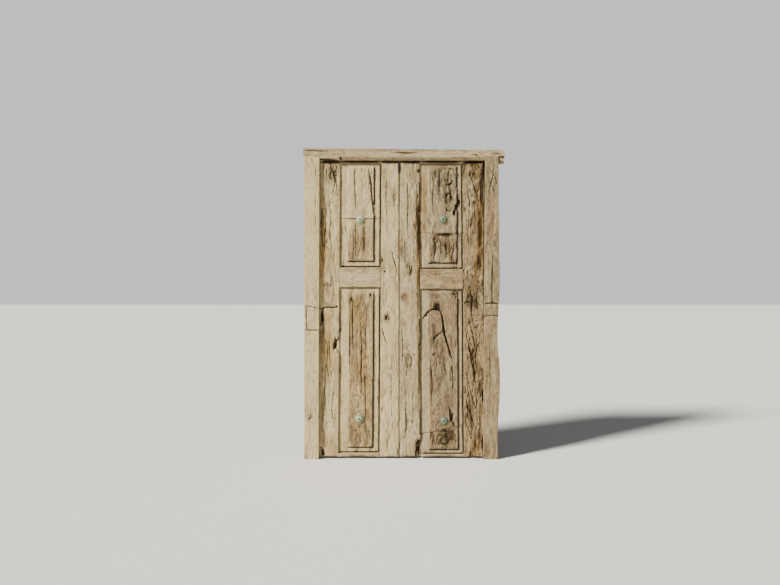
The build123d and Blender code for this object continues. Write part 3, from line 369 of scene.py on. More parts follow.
left_stiles = [
    Board(
        "left_hinge_stile", seed=33, rough=0.8, aged=0.33, cracks=[
            (4, 6, (-573, 1063), (-524, 1060), (-471, 1064)),
            (4, 6, (-489, 2075), (-503, 2012), (-485, 1942), (-499, 1858)),
            (3.5, 5, (-520, 2089), (-510, 2026), (-524, 1956)),
            (3, 4, (-469, 2054), (-477, 1956), (-468, 1844)),
            (3, 5, (-545, 1781), (-552, 1641), (-541, 1480)), (3, 4, (-517, 906), (-524, 766), (-510, 570)),
            (3, 4, (-552, 906), (-559, 752), (-548, 612)),
            (3.5, 5, (-531, 1844), (-510, 1718), (-521, 1564), (-503, 1452)),
            (3.5, 5, (-559, 864), (-533, 780), (-542, 654), (-518, 528)),
            (3.5, 5, (-496, 472), (-507, 346), (-489, 220)),
            (3.4, 5, (-566, 1711), (-554, 1536), (-563, 1382)),
        ], knots=[(-473, 1067, 21, 24, 9), (-506, 1998, 49, 98, 4), (-534, 1186, 35, 70, 3)], hollows=[
            (-485, 801, 28, 119, 9, -8), (-576, 997, 28, 119, 8, 0), (-573, 41, 28, 70, 14, 0),
            (-559, 136, 35, 126, 4, 0), (-566, 906, 35, 210, 3, 0),
        ], gnarls=[(-510, 1998, 50, 90, 22)], brown=[
            (-510, 1970, 119, 308, 0.35), (-566, 1536, 56, 434, 0.5), (-517, 1396, 98, 280, 0.3),
            (-552, 752, 77, 462, 0.5), (-524, 1116, 112, 154, 0.55), (-566, 276, 49, 350, 0.7),
        ], ochre=[(-559, 1466, 77, 630, 0.8), (-531, 752, 112, 420, 0.8), (-545, 990, 112, 140, 0.7)],
        rust=[(-524, 87, 112, 182, 0.7), (-545, 1116, 70, 210, 0.35)],
        grime=[(-569, 906, 42, 308, 0.7), (-552, 668, 70, 350, 0.6)],
        pale=[(-510, 1662, 70, 238, 0.7), (-517, 318, 70, 420, 0.85)],
        painted_shadow=[shadow_under_head(-517, 182), shadow_above_floor(-517, 168)],
    ),
    Board(
        "left_meeting_stile", seed=43, rough=0.75, aged=0.2, nudge=(0.35, 0), cracks=[
            (3, 5, (-85, 1466), (-71, 1410), (-59, 1354), (-50, 1305)),
            (3.5, 6, (-155, 913), (-141, 864), (-125, 822)), (3.5, 8, (-174, 360), (-176, 325)),
            (3, 5, (-46, 73), (-45, 10)), (2.5, 3, (-118, 2026), (-125, 1816), (-113, 1592)),
            (2.5, 3, (-83, 766), (-90, 486), (-81, 206)), (2.4, 3, (-66, 1914), (-71, 1844), (-62, 1774)),
        ], knots=[
            (-135, 1314, 15, 18, 8), (-121, 990, 42, 49, 4), (-97, 584, 35, 42, 2), (-65, 1837, 28, 56, 4),
        ], hollows=[(-155, 1392, 17, 63, 6, 0), (-64, 1816, 35, 98, 3, 0)],
        gnarls=[(-121, 990, 36, 50, 12)], brown=[
            (-69, 1830, 56, 140, 0.6), (-121, 990, 63, 98, 0.55), (-146, 1396, 42, 154, 0.5),
            (-51, 52, 28, 140, 0.4),
        ], rust=[(-125, 1326, 70, 98, 0.3)], grime=[(-135, 1956, 70, 280, 0.55), (-90, 612, 63, 140, 0.4)],
        pale=[(-104, 1592, 112, 420, 0.7), (-111, 346, 112, 560, 0.6)],
        painted_shadow=[shadow_under_head(-97, 182), shadow_above_floor(-97, 154), (-36, 2040, 17, 98, 0.7)],
    ),
]

right_stiles = [
    Board(
        "right_meeting_stile", seed=53, rough=0.95, aged=0.38, nudge=(-0.35, 0), cracks=[
            (3.5, 7, (39, 1361), (46, 1319), (41, 1270)), (3, 6, (52, 1354), (55, 1312)),
            (3, 5, (4, 1536), (10, 1452), (6, 1382)), (3, 5, (68, 1634), (73, 1508), (67, 1382)),
            (3, 5, (36, 766), (54, 696), (41, 612)), (2.6, 4, (11, 724), (24, 654), (15, 570)),
            (2.6, 3, (22, 1956), (29, 1781), (21, 1620)), (4, 6, (85, 1956), (95, 1844), (87, 1718)),
            (4, 6, (-14, 906), (-6, 794), (-14, 654)), (3.6, 5, (57, 486), (67, 346), (55, 206)),
            (3.4, 5, (8, 416), (15, 248), (4, 122)),
        ], knots=[(6, 1131, 56, 77, 3), (34, 682, 63, 98, 3.5)], hollows=[
            (106, 2019, 21, 35, 9, 0), (102, 1592, 35, 490, 6, 0), (105, 1186, 32, 420, 5, 0),
            (110, 556, 28, 770, 4, 0), (105, 73, 63, 140, 9, 0), (-9, 1452, 35, 84, 3, 0),
        ], gnarls=[(36, 1326, 50, 120, 14), (29, 682, 50, 90, 16)], brown=[
            (102, 1564, 49, 672, 0.95), (106, 906, 42, 770, 0.75), (1, 1452, 63, 182, 0.6),
            (43, 1319, 56, 126, 0.55), (106, 80, 77, 168, 0.85), (29, 682, 84, 182, 0.5),
        ], ochre=[(99, 1466, 49, 630, 0.85), (106, 766, 42, 630, 0.6)],
        rust=[(6, 1131, 63, 84, 0.9), (99, 1620, 35, 280, 0.6)], grime=[(113, 416, 28, 700, 0.6)],
        pale=[(22, 1781, 84, 490, 0.6), (29, 276, 98, 420, 0.6)], painted_shadow=[
            shadow_under_head(43, 182), shadow_above_floor(43, 182), (-29, 2040, 21, 98, 0.8), (122, 1536, 14, 420, 0.5),
        ],
    ),
    Board(
        "right_hinge_stile", seed=63, rough=1.4, aged=1.0, cracks=[
            (4.5, 8, (468, 2089), (491, 2068), (519, 2054), (547, 2026)),
            (4, 7, (477, 2064), (505, 2040), (533, 2016)), (4, 7, (426, 1091), (442, 1095), (459, 1102)),
            (3, 4, (439, 1305), (477, 1336), (530, 1371)), (5, 10, (552, 479), (550, 437), (552, 398)),
            (5, 10, (552, 164), (550, 108), (553, 52)),
            (3.5, 6, (491, 1116), (519, 1088), (496, 1053), (463, 1032)),
            (3.6, 6, (463, 836), (484, 766), (474, 682), (495, 570), (481, 472)),
            (3.6, 6, (505, 906), (516, 794), (502, 696), (523, 584)),
            (3.2, 5, (441, 766), (455, 654), (445, 528), (463, 402)),
            (3.2, 5, (519, 486), (508, 346), (525, 206)), (3.2, 5, (463, 381), (479, 241), (468, 101)),
            (3, 4, (491, 1816), (503, 1676), (490, 1536)), (3, 4, (456, 1746), (449, 1571), (459, 1431)),
            (5, 8, (456, 962), (484, 878), (498, 794), (526, 724)),
            (4.5, 8, (433, 906), (456, 794), (475, 682), (505, 598)),
            (4.5, 7, (435, 612), (468, 472), (491, 388), (531, 318)),
            (4.5, 7, (438, 416), (461, 332), (494, 234), (526, 178)),
            (4, 6, (442, 248), (473, 150), (510, 80)),
            (4, 6, (463, 2012), (491, 1914), (519, 1844), (526, 1760)),
            (4, 6, (440, 1914), (461, 1816), (465, 1676)),
        ], knots=[(498, 1095, 70, 84, 5), (484, 1984, 63, 84, 3)], hollows=[
            (545, 1886, 28, 350, 7, 0), (538, 1606, 42, 420, 6, 0), (531, 1382, 42, 238, 6, 0),
            (470, 1102, 84, 140, 5, 0), (540, 276, 28, 420, 5, 0), (435, 52, 42, 98, 4, 0),
        ], gnarls=[(484, 1095, 80, 180, 22), (491, 626, 90, 330, 10)], brown=[
            (531, 1711, 63, 770, 1.0), (477, 1116, 126, 280, 0.85), (484, 626, 126, 840, 0.6),
            (439, 346, 49, 630, 0.5), (519, 136, 63, 280, 0.6), (491, 2026, 84, 140, 0.6),
        ], ochre=[(533, 1634, 56, 770, 0.9), (463, 1116, 98, 182, 0.4), (505, 2040, 98, 154, 0.5)],
        rust=[(540, 1592, 42, 560, 0.8), (519, 1340, 70, 238, 0.6), (484, 66, 112, 154, 0.8)],
        grime=[(491, 1074, 98, 182, 0.8)], pale=[(456, 1844, 63, 350, 0.7), (467, 1340, 63, 98, 0.6)],
        painted_shadow=[
            shadow_under_head(491, 182), shadow_above_floor(491, 168), (554, 2012, 24, 168, 0.9),
            (498, 1088, 49, 42, 0.4),
        ],
    ),
]

rail_boards = [
    Board(
        "left_top_rail", seed=73, rough=0.5, aged=0.6, lying=True, brown=[(-307, 2085, 280, 35, 0.7)],
        painted_shadow=[shadow_under_head(-307, 350)],
    ),
    Board(
        "left_middle_rail", seed=83, rough=0.3, aged=0.22, lying=True, grime=[(-307, 1326, 252, 42, 0.4)],
        pale=[(-293, 1242, 210, 56, 0.5)],
    ),
    Board(
        "left_bottom_rail", seed=93, rough=0.6, aged=0.5, lying=True, brown=[(-307, 20, 280, 28, 0.7)],
        painted_shadow=[shadow_above_floor(-307, 350)],
    ),
    Board(
        "right_top_rail", seed=103, rough=0.6, aged=0.8, lying=True, brown=[(260, 2082, 280, 35, 0.9)],
        painted_shadow=[shadow_under_head(260, 364)],
    ),
    Board(
        "right_middle_rail", seed=113, rough=0.2, aged=0.95, lying=True, brown=[(267, 1305, 266, 42, 0.45)],
        grime=[(337, 1249, 140, 70, 0.35)], pale=[(225, 1228, 168, 49, 0.4)],
    ),
    Board(
        "right_bottom_rail", seed=123, rough=0.6, aged=0.6, lying=True, brown=[(260, 20, 280, 28, 0.8)],
        painted_shadow=[shadow_above_floor(260, 364)],
    ),
]

left_panels = [
    Board(
        "left_upper_panel_top_board", seed=133, rough=0.6, aged=0.0, cracks=[
            (5, 7, (-250, 2036), (-235, 1942), (-225, 1816), (-211, 1697)),
            (3, 4, (-227, 2026), (-230, 1886), (-218, 1774)),
            (2.6, 3, (-342, 2026), (-346, 1886), (-337, 1732)), (2.6, 3, (-295, 2040), (-300, 1928)),
        ], hollows=[(-239, 1984, 28, 98, 4, 0)],
        brown=[(-244, 1942, 63, 280, 0.35), (-419, 1886, 35, 420, 0.35)],
        grime=[(-349, 1886, 42, 308, 0.15), (-307, 1725, 154, 56, 0.35)], pale=[(-293, 1984, 98, 168, 0.6)],
    ),
    Board(
        "left_upper_panel_bottom_board", seed=143, rough=1.0, aged=0.5, nudge=(0, 0.25), cracks=[
            (3, 5, (-339, 1662), (-343, 1536), (-335, 1396)),
            (2.8, 4, (-288, 1648), (-284, 1508), (-290, 1396)),
        ], hollows=[(-328, 1452, 70, 140, 2.5, 0)],
        brown=[(-321, 1494, 126, 252, 0.75), (-363, 1410, 70, 112, 0.6)],
        grime=[(-279, 1564, 70, 210, 0.55)], pale=[(-370, 1620, 56, 112, 0.4)],
        painted_shadow=[(-307, 1686, 252, 10, 0.6)],
    ),
    Board(
        "left_lower_panel", seed=153, rough=0.85, aged=0.8, cracks=[
            (3, 5, (-379, 1116), (-381, 906), (-377, 696)), (3, 5, (-360, 1102), (-357, 948), (-361, 808)),
            (3, 4, (-272, 1144), (-262, 976), (-273, 808), (-262, 612)),
            (2.8, 4, (-328, 906), (-335, 752), (-321, 598), (-337, 430)),
            (2.8, 4, (-304, 766), (-295, 570), (-308, 416)),
        ], knots=[(-321, 136, 63, 98, 3)],
        hollows=[(-372, 1137, 42, 98, 3, 0), (-230, 1151, 28, 56, 2.5, 0), (-363, 164, 42, 154, 4, 0)],
        brown=[
            (-370, 1116, 63, 168, 0.8), (-307, 1004, 154, 350, 0.5), (-356, 752, 63, 490, 0.55),
            (-307, 192, 154, 322, 0.75), (-265, 528, 56, 420, 0.4),
        ], ochre=[(-335, 976, 126, 420, 0.5), (-293, 556, 112, 490, 0.35)],
        rust=[(-307, 654, 84, 280, 0.3)], grime=[(-370, 248, 56, 350, 0.7), (-321, 1088, 98, 182, 0.45)],
        pale=[(-414, 626, 35, 1050, 0.5)],
    ),
]

right_panels = [
    Board(
        "right_upper_panel_top_board", seed=163, rough=1.0, aged=0.45, cracks=[
            (6, 9, (300, 1931), (316, 1922), (335, 1935), (350, 1959)),
            (3.4, 5, (253, 1984), (279, 1900), (298, 1816), (321, 1760)),
            (3.2, 5, (225, 1998), (244, 1914), (265, 1830)),
            (3.2, 4, (337, 1886), (319, 1844), (335, 1788)), (3, 4, (281, 1844), (305, 1774), (288, 1704)),
        ], knots=[(305, 1984, 77, 84, 3), (316, 1844, 56, 70, 4)], hollows=[
            (384, 1805, 24, 42, 17, 0), (368, 1774, 29, 35, 17, 0), (351, 1728, 22, 42, 16, 0),
            (225, 2012, 35, 49, 4, 0), (309, 2036, 63, 21, 4, 0),
        ], gnarls=[(309, 1886, 80, 150, 24)],
        brown=[(295, 1886, 119, 308, 0.7), (239, 2012, 84, 84, 0.6), (260, 2050, 238, 42, 0.6)],
        ochre=[(146, 1830, 63, 532, 0.9), (267, 2054, 308, 35, 0.5), (141, 1620, 56, 98, 0.7)],
        rust=[(141, 1634, 49, 126, 0.75), (148, 1774, 42, 280, 0.4)], grime=[(323, 1781, 84, 140, 0.5)],
        pale=[(204, 1760, 56, 238, 0.6)],
    ),
    Board(
        "right_upper_panel_bottom_board", seed=173, rough=1.2, aged=0.72, nudge=(0, 0.25), cracks=[
            (4.4, 6, (211, 1536), (228, 1480), (209, 1410)), (4, 6, (302, 1564), (288, 1494), (308, 1410)),
            (3.6, 5, (342, 1550), (351, 1480), (337, 1403)),
            (3.4, 5, (253, 1550), (263, 1466), (251, 1396)),
        ], hollows=[(223, 1536, 56, 63, 4, 20), (321, 1494, 63, 140, 3, 0), (211, 1382, 70, 21, 3, 0)],
        gnarls=[(274, 1480, 80, 70, 20)], brown=[(239, 1508, 112, 140, 0.9), (323, 1480, 91, 182, 0.8)],
        ochre=[(144, 1536, 49, 140, 0.5)], grime=[(281, 1564, 182, 42, 0.7), (288, 1536, 182, 70, 0.5)],
        pale=[(148, 1466, 49, 210, 0.6)], painted_shadow=[(288, 1574, 175, 25, 0.95)],
    ),
    Board(
        "right_lower_panel_top_board", seed=183, rough=0.8, aged=0.94, cracks=[
            (8, 13, (133, 984), (158, 1018), (188, 1042), (218, 1050), (251, 1036)),
            (9, 14, (246, 1060), (265, 1014), (277, 948), (286, 878), (305, 808), (321, 752), (337, 703)),
            (4, 8, (274, 899), (249, 874), (221, 850), (208, 829)),
            (3, 4, (204, 962), (213, 892), (200, 794)), (2.6, 3, (225, 906), (235, 822), (223, 752)),
            (4, 7, (320, 367), (333, 318), (344, 269), (362, 223)),
        ], knots=[(235, 1064, 49, 63, 12)], hollows=[
            (197, 1151, 49, 63, 3, -20), (358, 1168, 56, 49, 4, 30), (336, 290, 28, 91, 7, -20),
            (153, 1004, 35, 28, 8, 0), (216, 885, 35, 140, 3, 0),
        ], gnarls=[(267, 654, 90, 160, 12)], brown=[
            (204, 1130, 84, 126, 0.8), (358, 1144, 70, 112, 0.7), (211, 864, 56, 238, 0.65),
            (267, 990, 112, 140, 0.4), (302, 444, 56, 308, 0.55), (253, 248, 154, 98, 0.5),
        ], ochre=[(148, 836, 42, 350, 0.4)],
        grime=[(232, 1074, 98, 98, 0.8), (330, 276, 56, 154, 0.7), (274, 556, 238, 840, 0.3)],
        pale=[(302, 612, 112, 308, 0.5)],
    ),
    Board(
        "right_lower_panel_foot_board", seed=193, rough=1.1, aged=1.5, nudge=(0, 0.3),
        cracks=[(4, 5, (214, 185), (211, 115), (239, 66)), (3, 4, (295, 164), (316, 122), (295, 80))],
        knots=[(288, 129, 119, 105, 3)], hollows=[(211, 122, 28, 98, 4, 0)],
        gnarls=[(288, 136, 80, 60, 18)], brown=[(281, 136, 168, 154, 0.85), (183, 45, 112, 35, 0.6)],
        grime=[(295, 122, 98, 84, 0.6)], painted_shadow=[(281, 195, 154, 21, 0.6)],
    ),
]


def cut_fine(mesh, faces, planes):
    """Cuts a group of faces along planes that lie side by side, halving the group each time."""
    if not planes or not faces:
        return faces
    middle = len(planes) // 2
    point, normal = planes[middle]
    verts = list({vert for face in faces for vert in face.verts})
    edges = list({edge for face in faces for edge in face.edges})
    cut = bmesh.ops.bisect_plane(
        mesh, geom=verts + edges + list(faces), dist=1e-6, plane_co=point, plane_no=normal
    )
    near, far = [], []
    for piece in cut["geom"]:
        if isinstance(piece, bmesh.types.BMFace):
            side = (piece.calc_center_median() - point).dot(normal)
            (near if side < 0 else far).append(piece)
    return cut_fine(mesh, near, planes[:middle]) + cut_fine(mesh, far, planes[middle + 1:])


def side_by_side(low, high, step, axis):
    """Planes across one axis, a little closer together at both ends than in between."""
    arris, rim = 0.0012, 0.0035
    ends = [low + arris, low + rim, high - rim, high - arris]
    count = max(1, round((high - low - 2 * rim) / step))
    inner = [low + rim + (high - low - 2 * rim) * i / count for i in range(1, count)]
    normal = Vector((axis == 0, axis == 1, axis == 2))
    return [(normal * place, normal) for place in sorted(ends + inner)]


def fine_copy(board, timber):
    """A copy of one board's solid whose front is cut into small cells, and the faces of that front."""
    low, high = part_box(board.node)
    carved = bmesh.new()
    carved.from_mesh(frame["nodes"][board.node].data)
    bmesh.ops.remove_doubles(carved, verts=carved.verts[:], dist=1e-6)
    bmesh.ops.translate(carved, verts=carved.verts[:], vec=board.nudge)
    bmesh.ops.dissolve_limit(
        carved, angle_limit=math.radians(0.5), verts=carved.verts[:], edges=carved.edges[:]
    )
    carved.normal_update()
    across, along = board.by_grain(0, 2)
    front = [face for face in carved.faces if face.normal.y < -0.3]
    front = cut_fine(carved, front, side_by_side(low[across], high[across], timber.across_step, across))
    front = cut_fine(carved, front, side_by_side(low[along], high[along], timber.along_step, along))
    carved.normal_update()
    carved.verts.index_update()
    carved.verts.ensure_lookup_table()
    return carved, front


class Edges:
    """Where the arrises and the inner corners of a front run, as a number for each vertex.
    An inner corner gets painted shade: little where its wall faces up or to the left, towards the key light,
    and much on the other sides."""

    # Strength of the painted shade in an inner corner, on the side towards the key light and on the other
    # sides
    washed, dirty = 0.25, 1.15

    def __init__(self, carved, front):
        self.carved = carved
        count = len(carved.verts)
        self.facing, self.arris, self.corner, self.shade_weight = np.zeros((4, count))
        self.inward = np.zeros((count, 2))
        in_front = set(front)
        for face in front:
            middle = face.calc_center_median()
            for vert in face.verts:
                self.facing[vert.index] = 1
            for edge in face.edges:
                walls = [side for side in edge.link_faces if side not in in_front]
                if walls:
                    self.note(edge, walls, middle)
        length = np.hypot(self.inward[:, 0], self.inward[:, 1])
        self.inward /= np.maximum(length, 1e-9)[:, None]

    def note(self, edge, walls, middle):
        """Takes down one edge between the front and the walls that meet it there."""
        kind = self.arris if edge.is_convex else self.corner
        toward_light = any(max(-wall.normal.x, wall.normal.z) > 0.5 for wall in walls)
        for vert in edge.verts:
            kind[vert.index] = 1
            self.shade_weight[vert.index] = max(self.shade_weight[vert.index], self.washed if toward_light else self.dirty)
            self.inward[vert.index] += (middle.x - vert.co.x, middle.z - vert.co.z)

    def dirt(self):
        """Painted shade at each vertex of the front, most in an inner corner and none a centimetre or so
        away.
        """
        reach = 0.007
        dirt = np.zeros(len(self.facing))
        corners = np.flatnonzero(self.corner)
        if not len(corners):
            return dirt
        nearby = KDTree(len(corners))
        for i in corners:
            nearby.insert(self.carved.verts[i].co, i)
        nearby.balance()
        for i in np.flatnonzero(self.facing):
            _, nearest, gap = nearby.find(self.carved.verts[i].co)
            shade_weight = self.shade_weight[nearest]
            dirt[i] = (1 - min(gap / (reach + reach * shade_weight), 1)) * shade_weight
        return dirt


def boss_seats():
    """Middle and radius of every boss, in millimetres."""
    half = mm_per_m / 2
    for node in frame["nodes"]:
        if node.endswith("_boss"):
            low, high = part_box(node)
            yield (low[0] + high[0]) * half, (low[2] + high[2]) * half, (high[0] - low[0]) * half


def soften(mesh, sharpest):
    """Shades a mesh smoothly, apart from edges that turn by more than so many degrees."""
    for face in mesh.faces:
        face.smooth = True
    for edge in mesh.edges:
        edge.smooth = edge.calc_face_angle(0) < math.radians(sharpest)


def in_scene(name, data):
    """A new object in the scene."""
    made = bpy.data.objects.new(name, data)
    bpy.context.scene.collection.objects.link(made)
    return made


def meshed(mesh, name, material):
    """A new object in the scene, made of a finished mesh."""
    data = bpy.data.meshes.new(name)
    mesh.to_mesh(data)
    mesh.free()
    data.materials.append(material)
    return in_scene(name, data)


def as_piece(mesh, name, node_names, body, slot, material):
    """Turns a finished mesh into a piece that rides on its body and stands for its CAD nodes."""
    piece = meshed(mesh, name, material)
    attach(piece, body)
    if node_names:
        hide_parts(*node_names)
    return piece


def dress_board(board, timber, material):
    """Carves the weather's marks into the front of one board of the frame or a leaf."""
    low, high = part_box(board.node)
    carved, front = fine_copy(board, timber)
    edges = Edges(carved, front)
    facing, arris = edges.facing, edges.arris
    places = np.array([vert.co for vert in carved.verts])
    x, z = places[:, 0] * mm_per_m, places[:, 2] * mm_per_m
    worn, cut, dirt, flow = board.carve(x, z)

    # What lies far behind the foremost place, such as a panel's border, is sheltered from the weather
    sheltered_from, rise = 0.008, 0.005
    proud = smooth(low[1] + sheltered_from - places[:, 1], 0.0, rise)
    worn *= 0.4 + 0.6 * proud
    chance = Chance(board.seed + 5)
    edge_wear = arris * (0.35 + 1.3 * chance.layers(x / 31, z / 47, 3)) * timber.wear
    depth = (worn * timber.erosion + cut / mm_per_m) * facing + edge_wear

    # The timber stays flat under a boss, and some of it stays behind every hollow
    for boss_x, boss_z, radius in boss_seats():
        depth *= smooth(np.hypot(x - boss_x, z - boss_z), radius + 1, radius + 8)
    back_skin, deepest = 0.002, 0.017
    room = np.maximum(high[1] - back_skin - places[:, 1], 0)
    places[:, 1] += np.minimum(depth, np.minimum(room, deepest))
    nibble = arris * facing * (0.1 + 1.6 * chance.layers(x / 17 + 7, z / 26 + 3, 3) ** 2) * timber.wear
    places[:, 0] += edges.inward[:, 0] * nibble
    places[:, 2] += edges.inward[:, 1] * nibble
    for vert, place in zip(carved.verts, places):
        vert.co = place

    marks = {
        # Dirt and painted shade in cracks, knots and hollows, and painted shade in inner corners
        "crevice_dirt_and_shade": np.clip(dirt + 0.95 * edges.dirt() ** 1.2, 0, 1) * facing,
        "worn_edge": arris * facing,
        "weather": facing,
        "flow": flow / mm_per_m,
        # How deep the relief is worn, which the finish paints as shade in the hollows
        "sunk": np.clip(worn / 2, 0, 1) * facing,
        "aged": board.aged * (0.4 + 0.6 * proud),
        "sheltered": (1 - proud) * facing,
    }
    # The last kind is not a stain but painted shadow
    for kind in ("brown", "ochre", "rust", "grime", "pale", "painted_shadow"):
        marks[f"{kind}_stain"] = board.stain(x, z, kind)
    for name, values in marks.items():
        layer = carved.verts.layers.float.new(name)
        for vert, value in zip(carved.verts, values):
            vert[layer] = value
    carved.normal_update()
    soften(carved, 38)
    return as_piece(
        carved, f"{board.node}_weathered", [board.node], body_of[board.node], slot_of[board.node], material
    )


def sum_of(operation):
    """The method that works out one kind of sum with a Math node."""
    def work_out(value, other):
        return value.finish.node("ShaderNodeMath", {"operation": operation}, {0: value, 1: other})
    return work_out


class Value:
    """A number in a shader. A sum written with it adds the Math nodes that work it out."""

    def __init__(self, finish, socket):
        self.finish = finish
        self.socket = socket

    __add__ = __radd__ = sum_of("ADD")
    __sub__ = sum_of("SUBTRACT")
    __mul__ = __rmul__ = sum_of("MULTIPLY")
    __truediv__ = sum_of("DIVIDE")

    def __rsub__(self, other):
        return self.finish.node("ShaderNodeMath", {"operation": "SUBTRACT"}, {0: other, 1: self})

    def band(self, low, high):
        """0 below low, 1 above high, and a smooth rise between them."""
        return self.finish.node(
            "ShaderNodeMapRange",
            {"interpolation_type": "SMOOTHSTEP"},
            {"Value": self, "From Min": low, "From Max": high},
        )


class Finish:
    """A material while it is being put together, with its one shader."""

    def __init__(self, name, **constants):
        self.material = bpy.data.materials.new(name)
        self.material.use_nodes = True
        self.tree = self.material.node_tree
        self.shader = self.tree.nodes["Principled BSDF"]
        for socket, value in constants.items():
            self.shader.inputs[socket.replace("_", " ")].default_value = value

    def node(self, kind, settings=None, inputs=None, output=0):
        """Adds a node: its settings first, then what its sockets are given."""
        made = self.tree.nodes.new(kind)
        for name, value in (settings or {}).items():
            setattr(made, name, value)
        for name, value in (inputs or {}).items():
            self.feed(made.inputs[name], value)
        return Value(self, made.outputs[output])

    def feed(self, socket, value):
        """Gives a socket a fixed value, or links it to a value that varies."""
        if isinstance(value, Value):
            self.tree.links.new(value.socket, socket)
        else:
            socket.default_value = value

    def place(self):
        """The three coordinates of the point being shaded, in metres, in the object's own space."""
        spot = self.node("ShaderNodeTexCoord", output="Object")
        return [self.node("ShaderNodeSeparateXYZ", None, {0: spot}, axis) for axis in range(3)]

    def mark(self, name):
        """A mark that the carving left on the mesh."""
        return self.node("ShaderNodeAttribute", {"attribute_name": name}, None, "Fac")

    def noise(self, x, y, z, detail=2.0, roughness=0.5, distortion=0.0):
        """Soft noise around a half, whose lumps are about one unit of x, y and z across."""
        spot = self.node("ShaderNodeCombineXYZ", None, {0: x, 1: y, 2: z})
        levels = {"Scale": 1.0, "Detail": detail, "Roughness": roughness, "Distortion": distortion}
        return self.node("ShaderNodeTexNoise", None, {"Vector": spot, **levels})

    def blend(self, share, first, second, kind="MIX"):
        """Mixes two colours by a share from 0 to 1."""
        first, second = (paint if isinstance(paint, Value) else (*paint, 1.0) for paint in (first, second))
        return self.node(
            "ShaderNodeMix",
            {"data_type": "RGBA", "blend_type": kind, "clamp_factor": True},
            {0: share, 6: first, 7: second},
            2,
        )

    def coat(self, **inputs):
        """Feeds the shader what varies over the surface."""
        for name, value in inputs.items():
            self.feed(self.shader.inputs[name.replace("_", " ")], value)

    def bump(self, height, distance):
        """Raises the surface by a height times so many metres, as far as light can tell."""
        raised = self.node("ShaderNodeBump", None, {"Strength": 1.0, "Distance": distance, "Height": height})
        self.coat(Normal=raised)


def shade(levels, amount):
    """A colour made darker or lighter."""
    return tuple(level * amount for level in levels)


def timber_finish(name, timber, lying, tint):
    """Old timber: bleached ridges, browner grain and painted shade between them, stains, dirt and painted
    shade in crevices, and painted shadow.
    """
    finish = Finish(name, Roughness=0.86, IOR=1.45, Specular_IOR_Level=0.15)
    x, y, z = finish.place()
    across, along = (z, x) if lying else (x, z)
    across = across + finish.mark("flow")
    aged = finish.mark("aged")
    base = timber.pale

    def grain(width, length, detail, roughness, shift=0.0):
        """Noise that is drawn out along the grain."""
        place = (across / width + shift, y / (3 * width), along / length + shift)
        return finish.noise(*place, detail, roughness)

    def cover(share, paint, kind="MIX"):
        """Lays one more colour over the base."""
        nonlocal base
        base = finish.blend(share, base, paint, kind)

    # Grain and age, and painted shade in the hollows of the worn relief
    tone = grain(0.042, 0.20, 5.0, 0.68)
    cover((tone + aged * 0.26).band(0.50, 0.74), timber.tan)
    film = finish.noise(across / 0.05 + 7.0, y / 0.05, along / 0.16 + 7.0, 4.0, 0.7, 0.6)
    cover(film.band(0.5, 0.66) * (0.08 + 0.45 * aged), timber.film)
    streak = grain(0.010, 0.085, 5.0, 0.7, 4.0).band(0.49, 0.64)
    cover(streak * (0.10 + 0.50 * aged), timber.brown)
    fibre = grain(0.0024, 0.05, 3.0, 0.65, 9.0)
    cover(fibre.band(0.38, 0.7) * (0.18 + 0.30 * aged), shade(timber.brown, 0.8))
    cover(finish.mark("sheltered") * 0.42, timber.pale)
    # Painted shade in the hollows of the worn relief, more on aged boards
    cover(finish.mark("sunk").band(0.3, 0.9) * (0.10 + 0.55 * aged), timber.brown)
    mottle = finish.noise(x / 0.035 + 2.0, y / 0.05, z / 0.06, 5.0, 0.7, 0.4)
    cover(mottle.band(0.56, 0.74) * (0.06 + 0.40 * aged), shade(timber.brown, 1.1))

    # Stains, each broken up by a noise of its own
    cover(finish.mark("pale_stain") * mottle.band(0.3, 0.6), timber.pale)
    cover(finish.mark("ochre_stain") * (0.4 + 0.6 * mottle.band(0.3, 0.6)) * 0.85, timber.ochre)
    veins = grain(0.0075, 0.045, 4.0, 0.7, 2.0).band(0.44, 0.56)
    cover(finish.mark("brown_stain") * (0.22 + 0.78 * veins), timber.brown)
    cover(finish.mark("rust_stain") * (0.2 + 0.6 * mottle.band(0.42, 0.56)), timber.rust)
    cover(finish.mark("grime_stain") * (0.25 + 0.6 * mottle.band(0.44, 0.54)), timber.grime)
    cover((1 - finish.mark("weather")) * 0.55, timber.brown)

    # Dark hair lines, dirt and painted shade in crevices and corners, painted shadow, pale worn edges and
    # dark flecks
    middle = grain(0.009, 0.09, 2.0, 0.55, 21.0) - 0.5
    line = 1 - (middle * middle * 3600.0).band(0.0, 1.0)
    line = line * finish.noise(across / 0.02 + 5.0, y / 0.05, along / 0.04, 2.0).band(0.5, 0.62)
    cover(line * (0.45 + 0.4 * aged), timber.dark_and_shade)
    # Dirt and painted shade in cracks, knots and hollows, and painted shade in inner corners
    cover(finish.mark("crevice_dirt_and_shade").band(0.12, 0.95) * 0.95, timber.dark_and_shade)
    # Painted shadow under the head, above the floor, in deep gaps and under proud boards
    cover(finish.mark("painted_shadow_stain").band(0.0, 0.7) * 0.96, timber.dark_and_shade)
    cover(finish.mark("worn_edge") * mottle.band(0.35, 0.6) * 0.45, timber.pale)
    fleck = grain(0.0085, 0.03, 3.0, 0.65, 13.0).band(0.54, 0.62)
    fleck = fleck * finish.noise(x / 0.05 + 3.0, y / 0.05, z / 0.09, 3.0, 0.6).band(0.42, 0.6)
    cover(fleck * (0.10 + 0.65 * aged), shade(timber.brown, 0.5))

    cover(1.0, tint, "MULTIPLY")
    finish.coat(Base_Color=base, Roughness=0.78 + 0.14 * fibre)
    finish.bump(fibre * 0.5 - streak * 0.5 - line * 1.2 + mottle * 0.7 - tone * 0.5, 0.0016)
    return finish.material


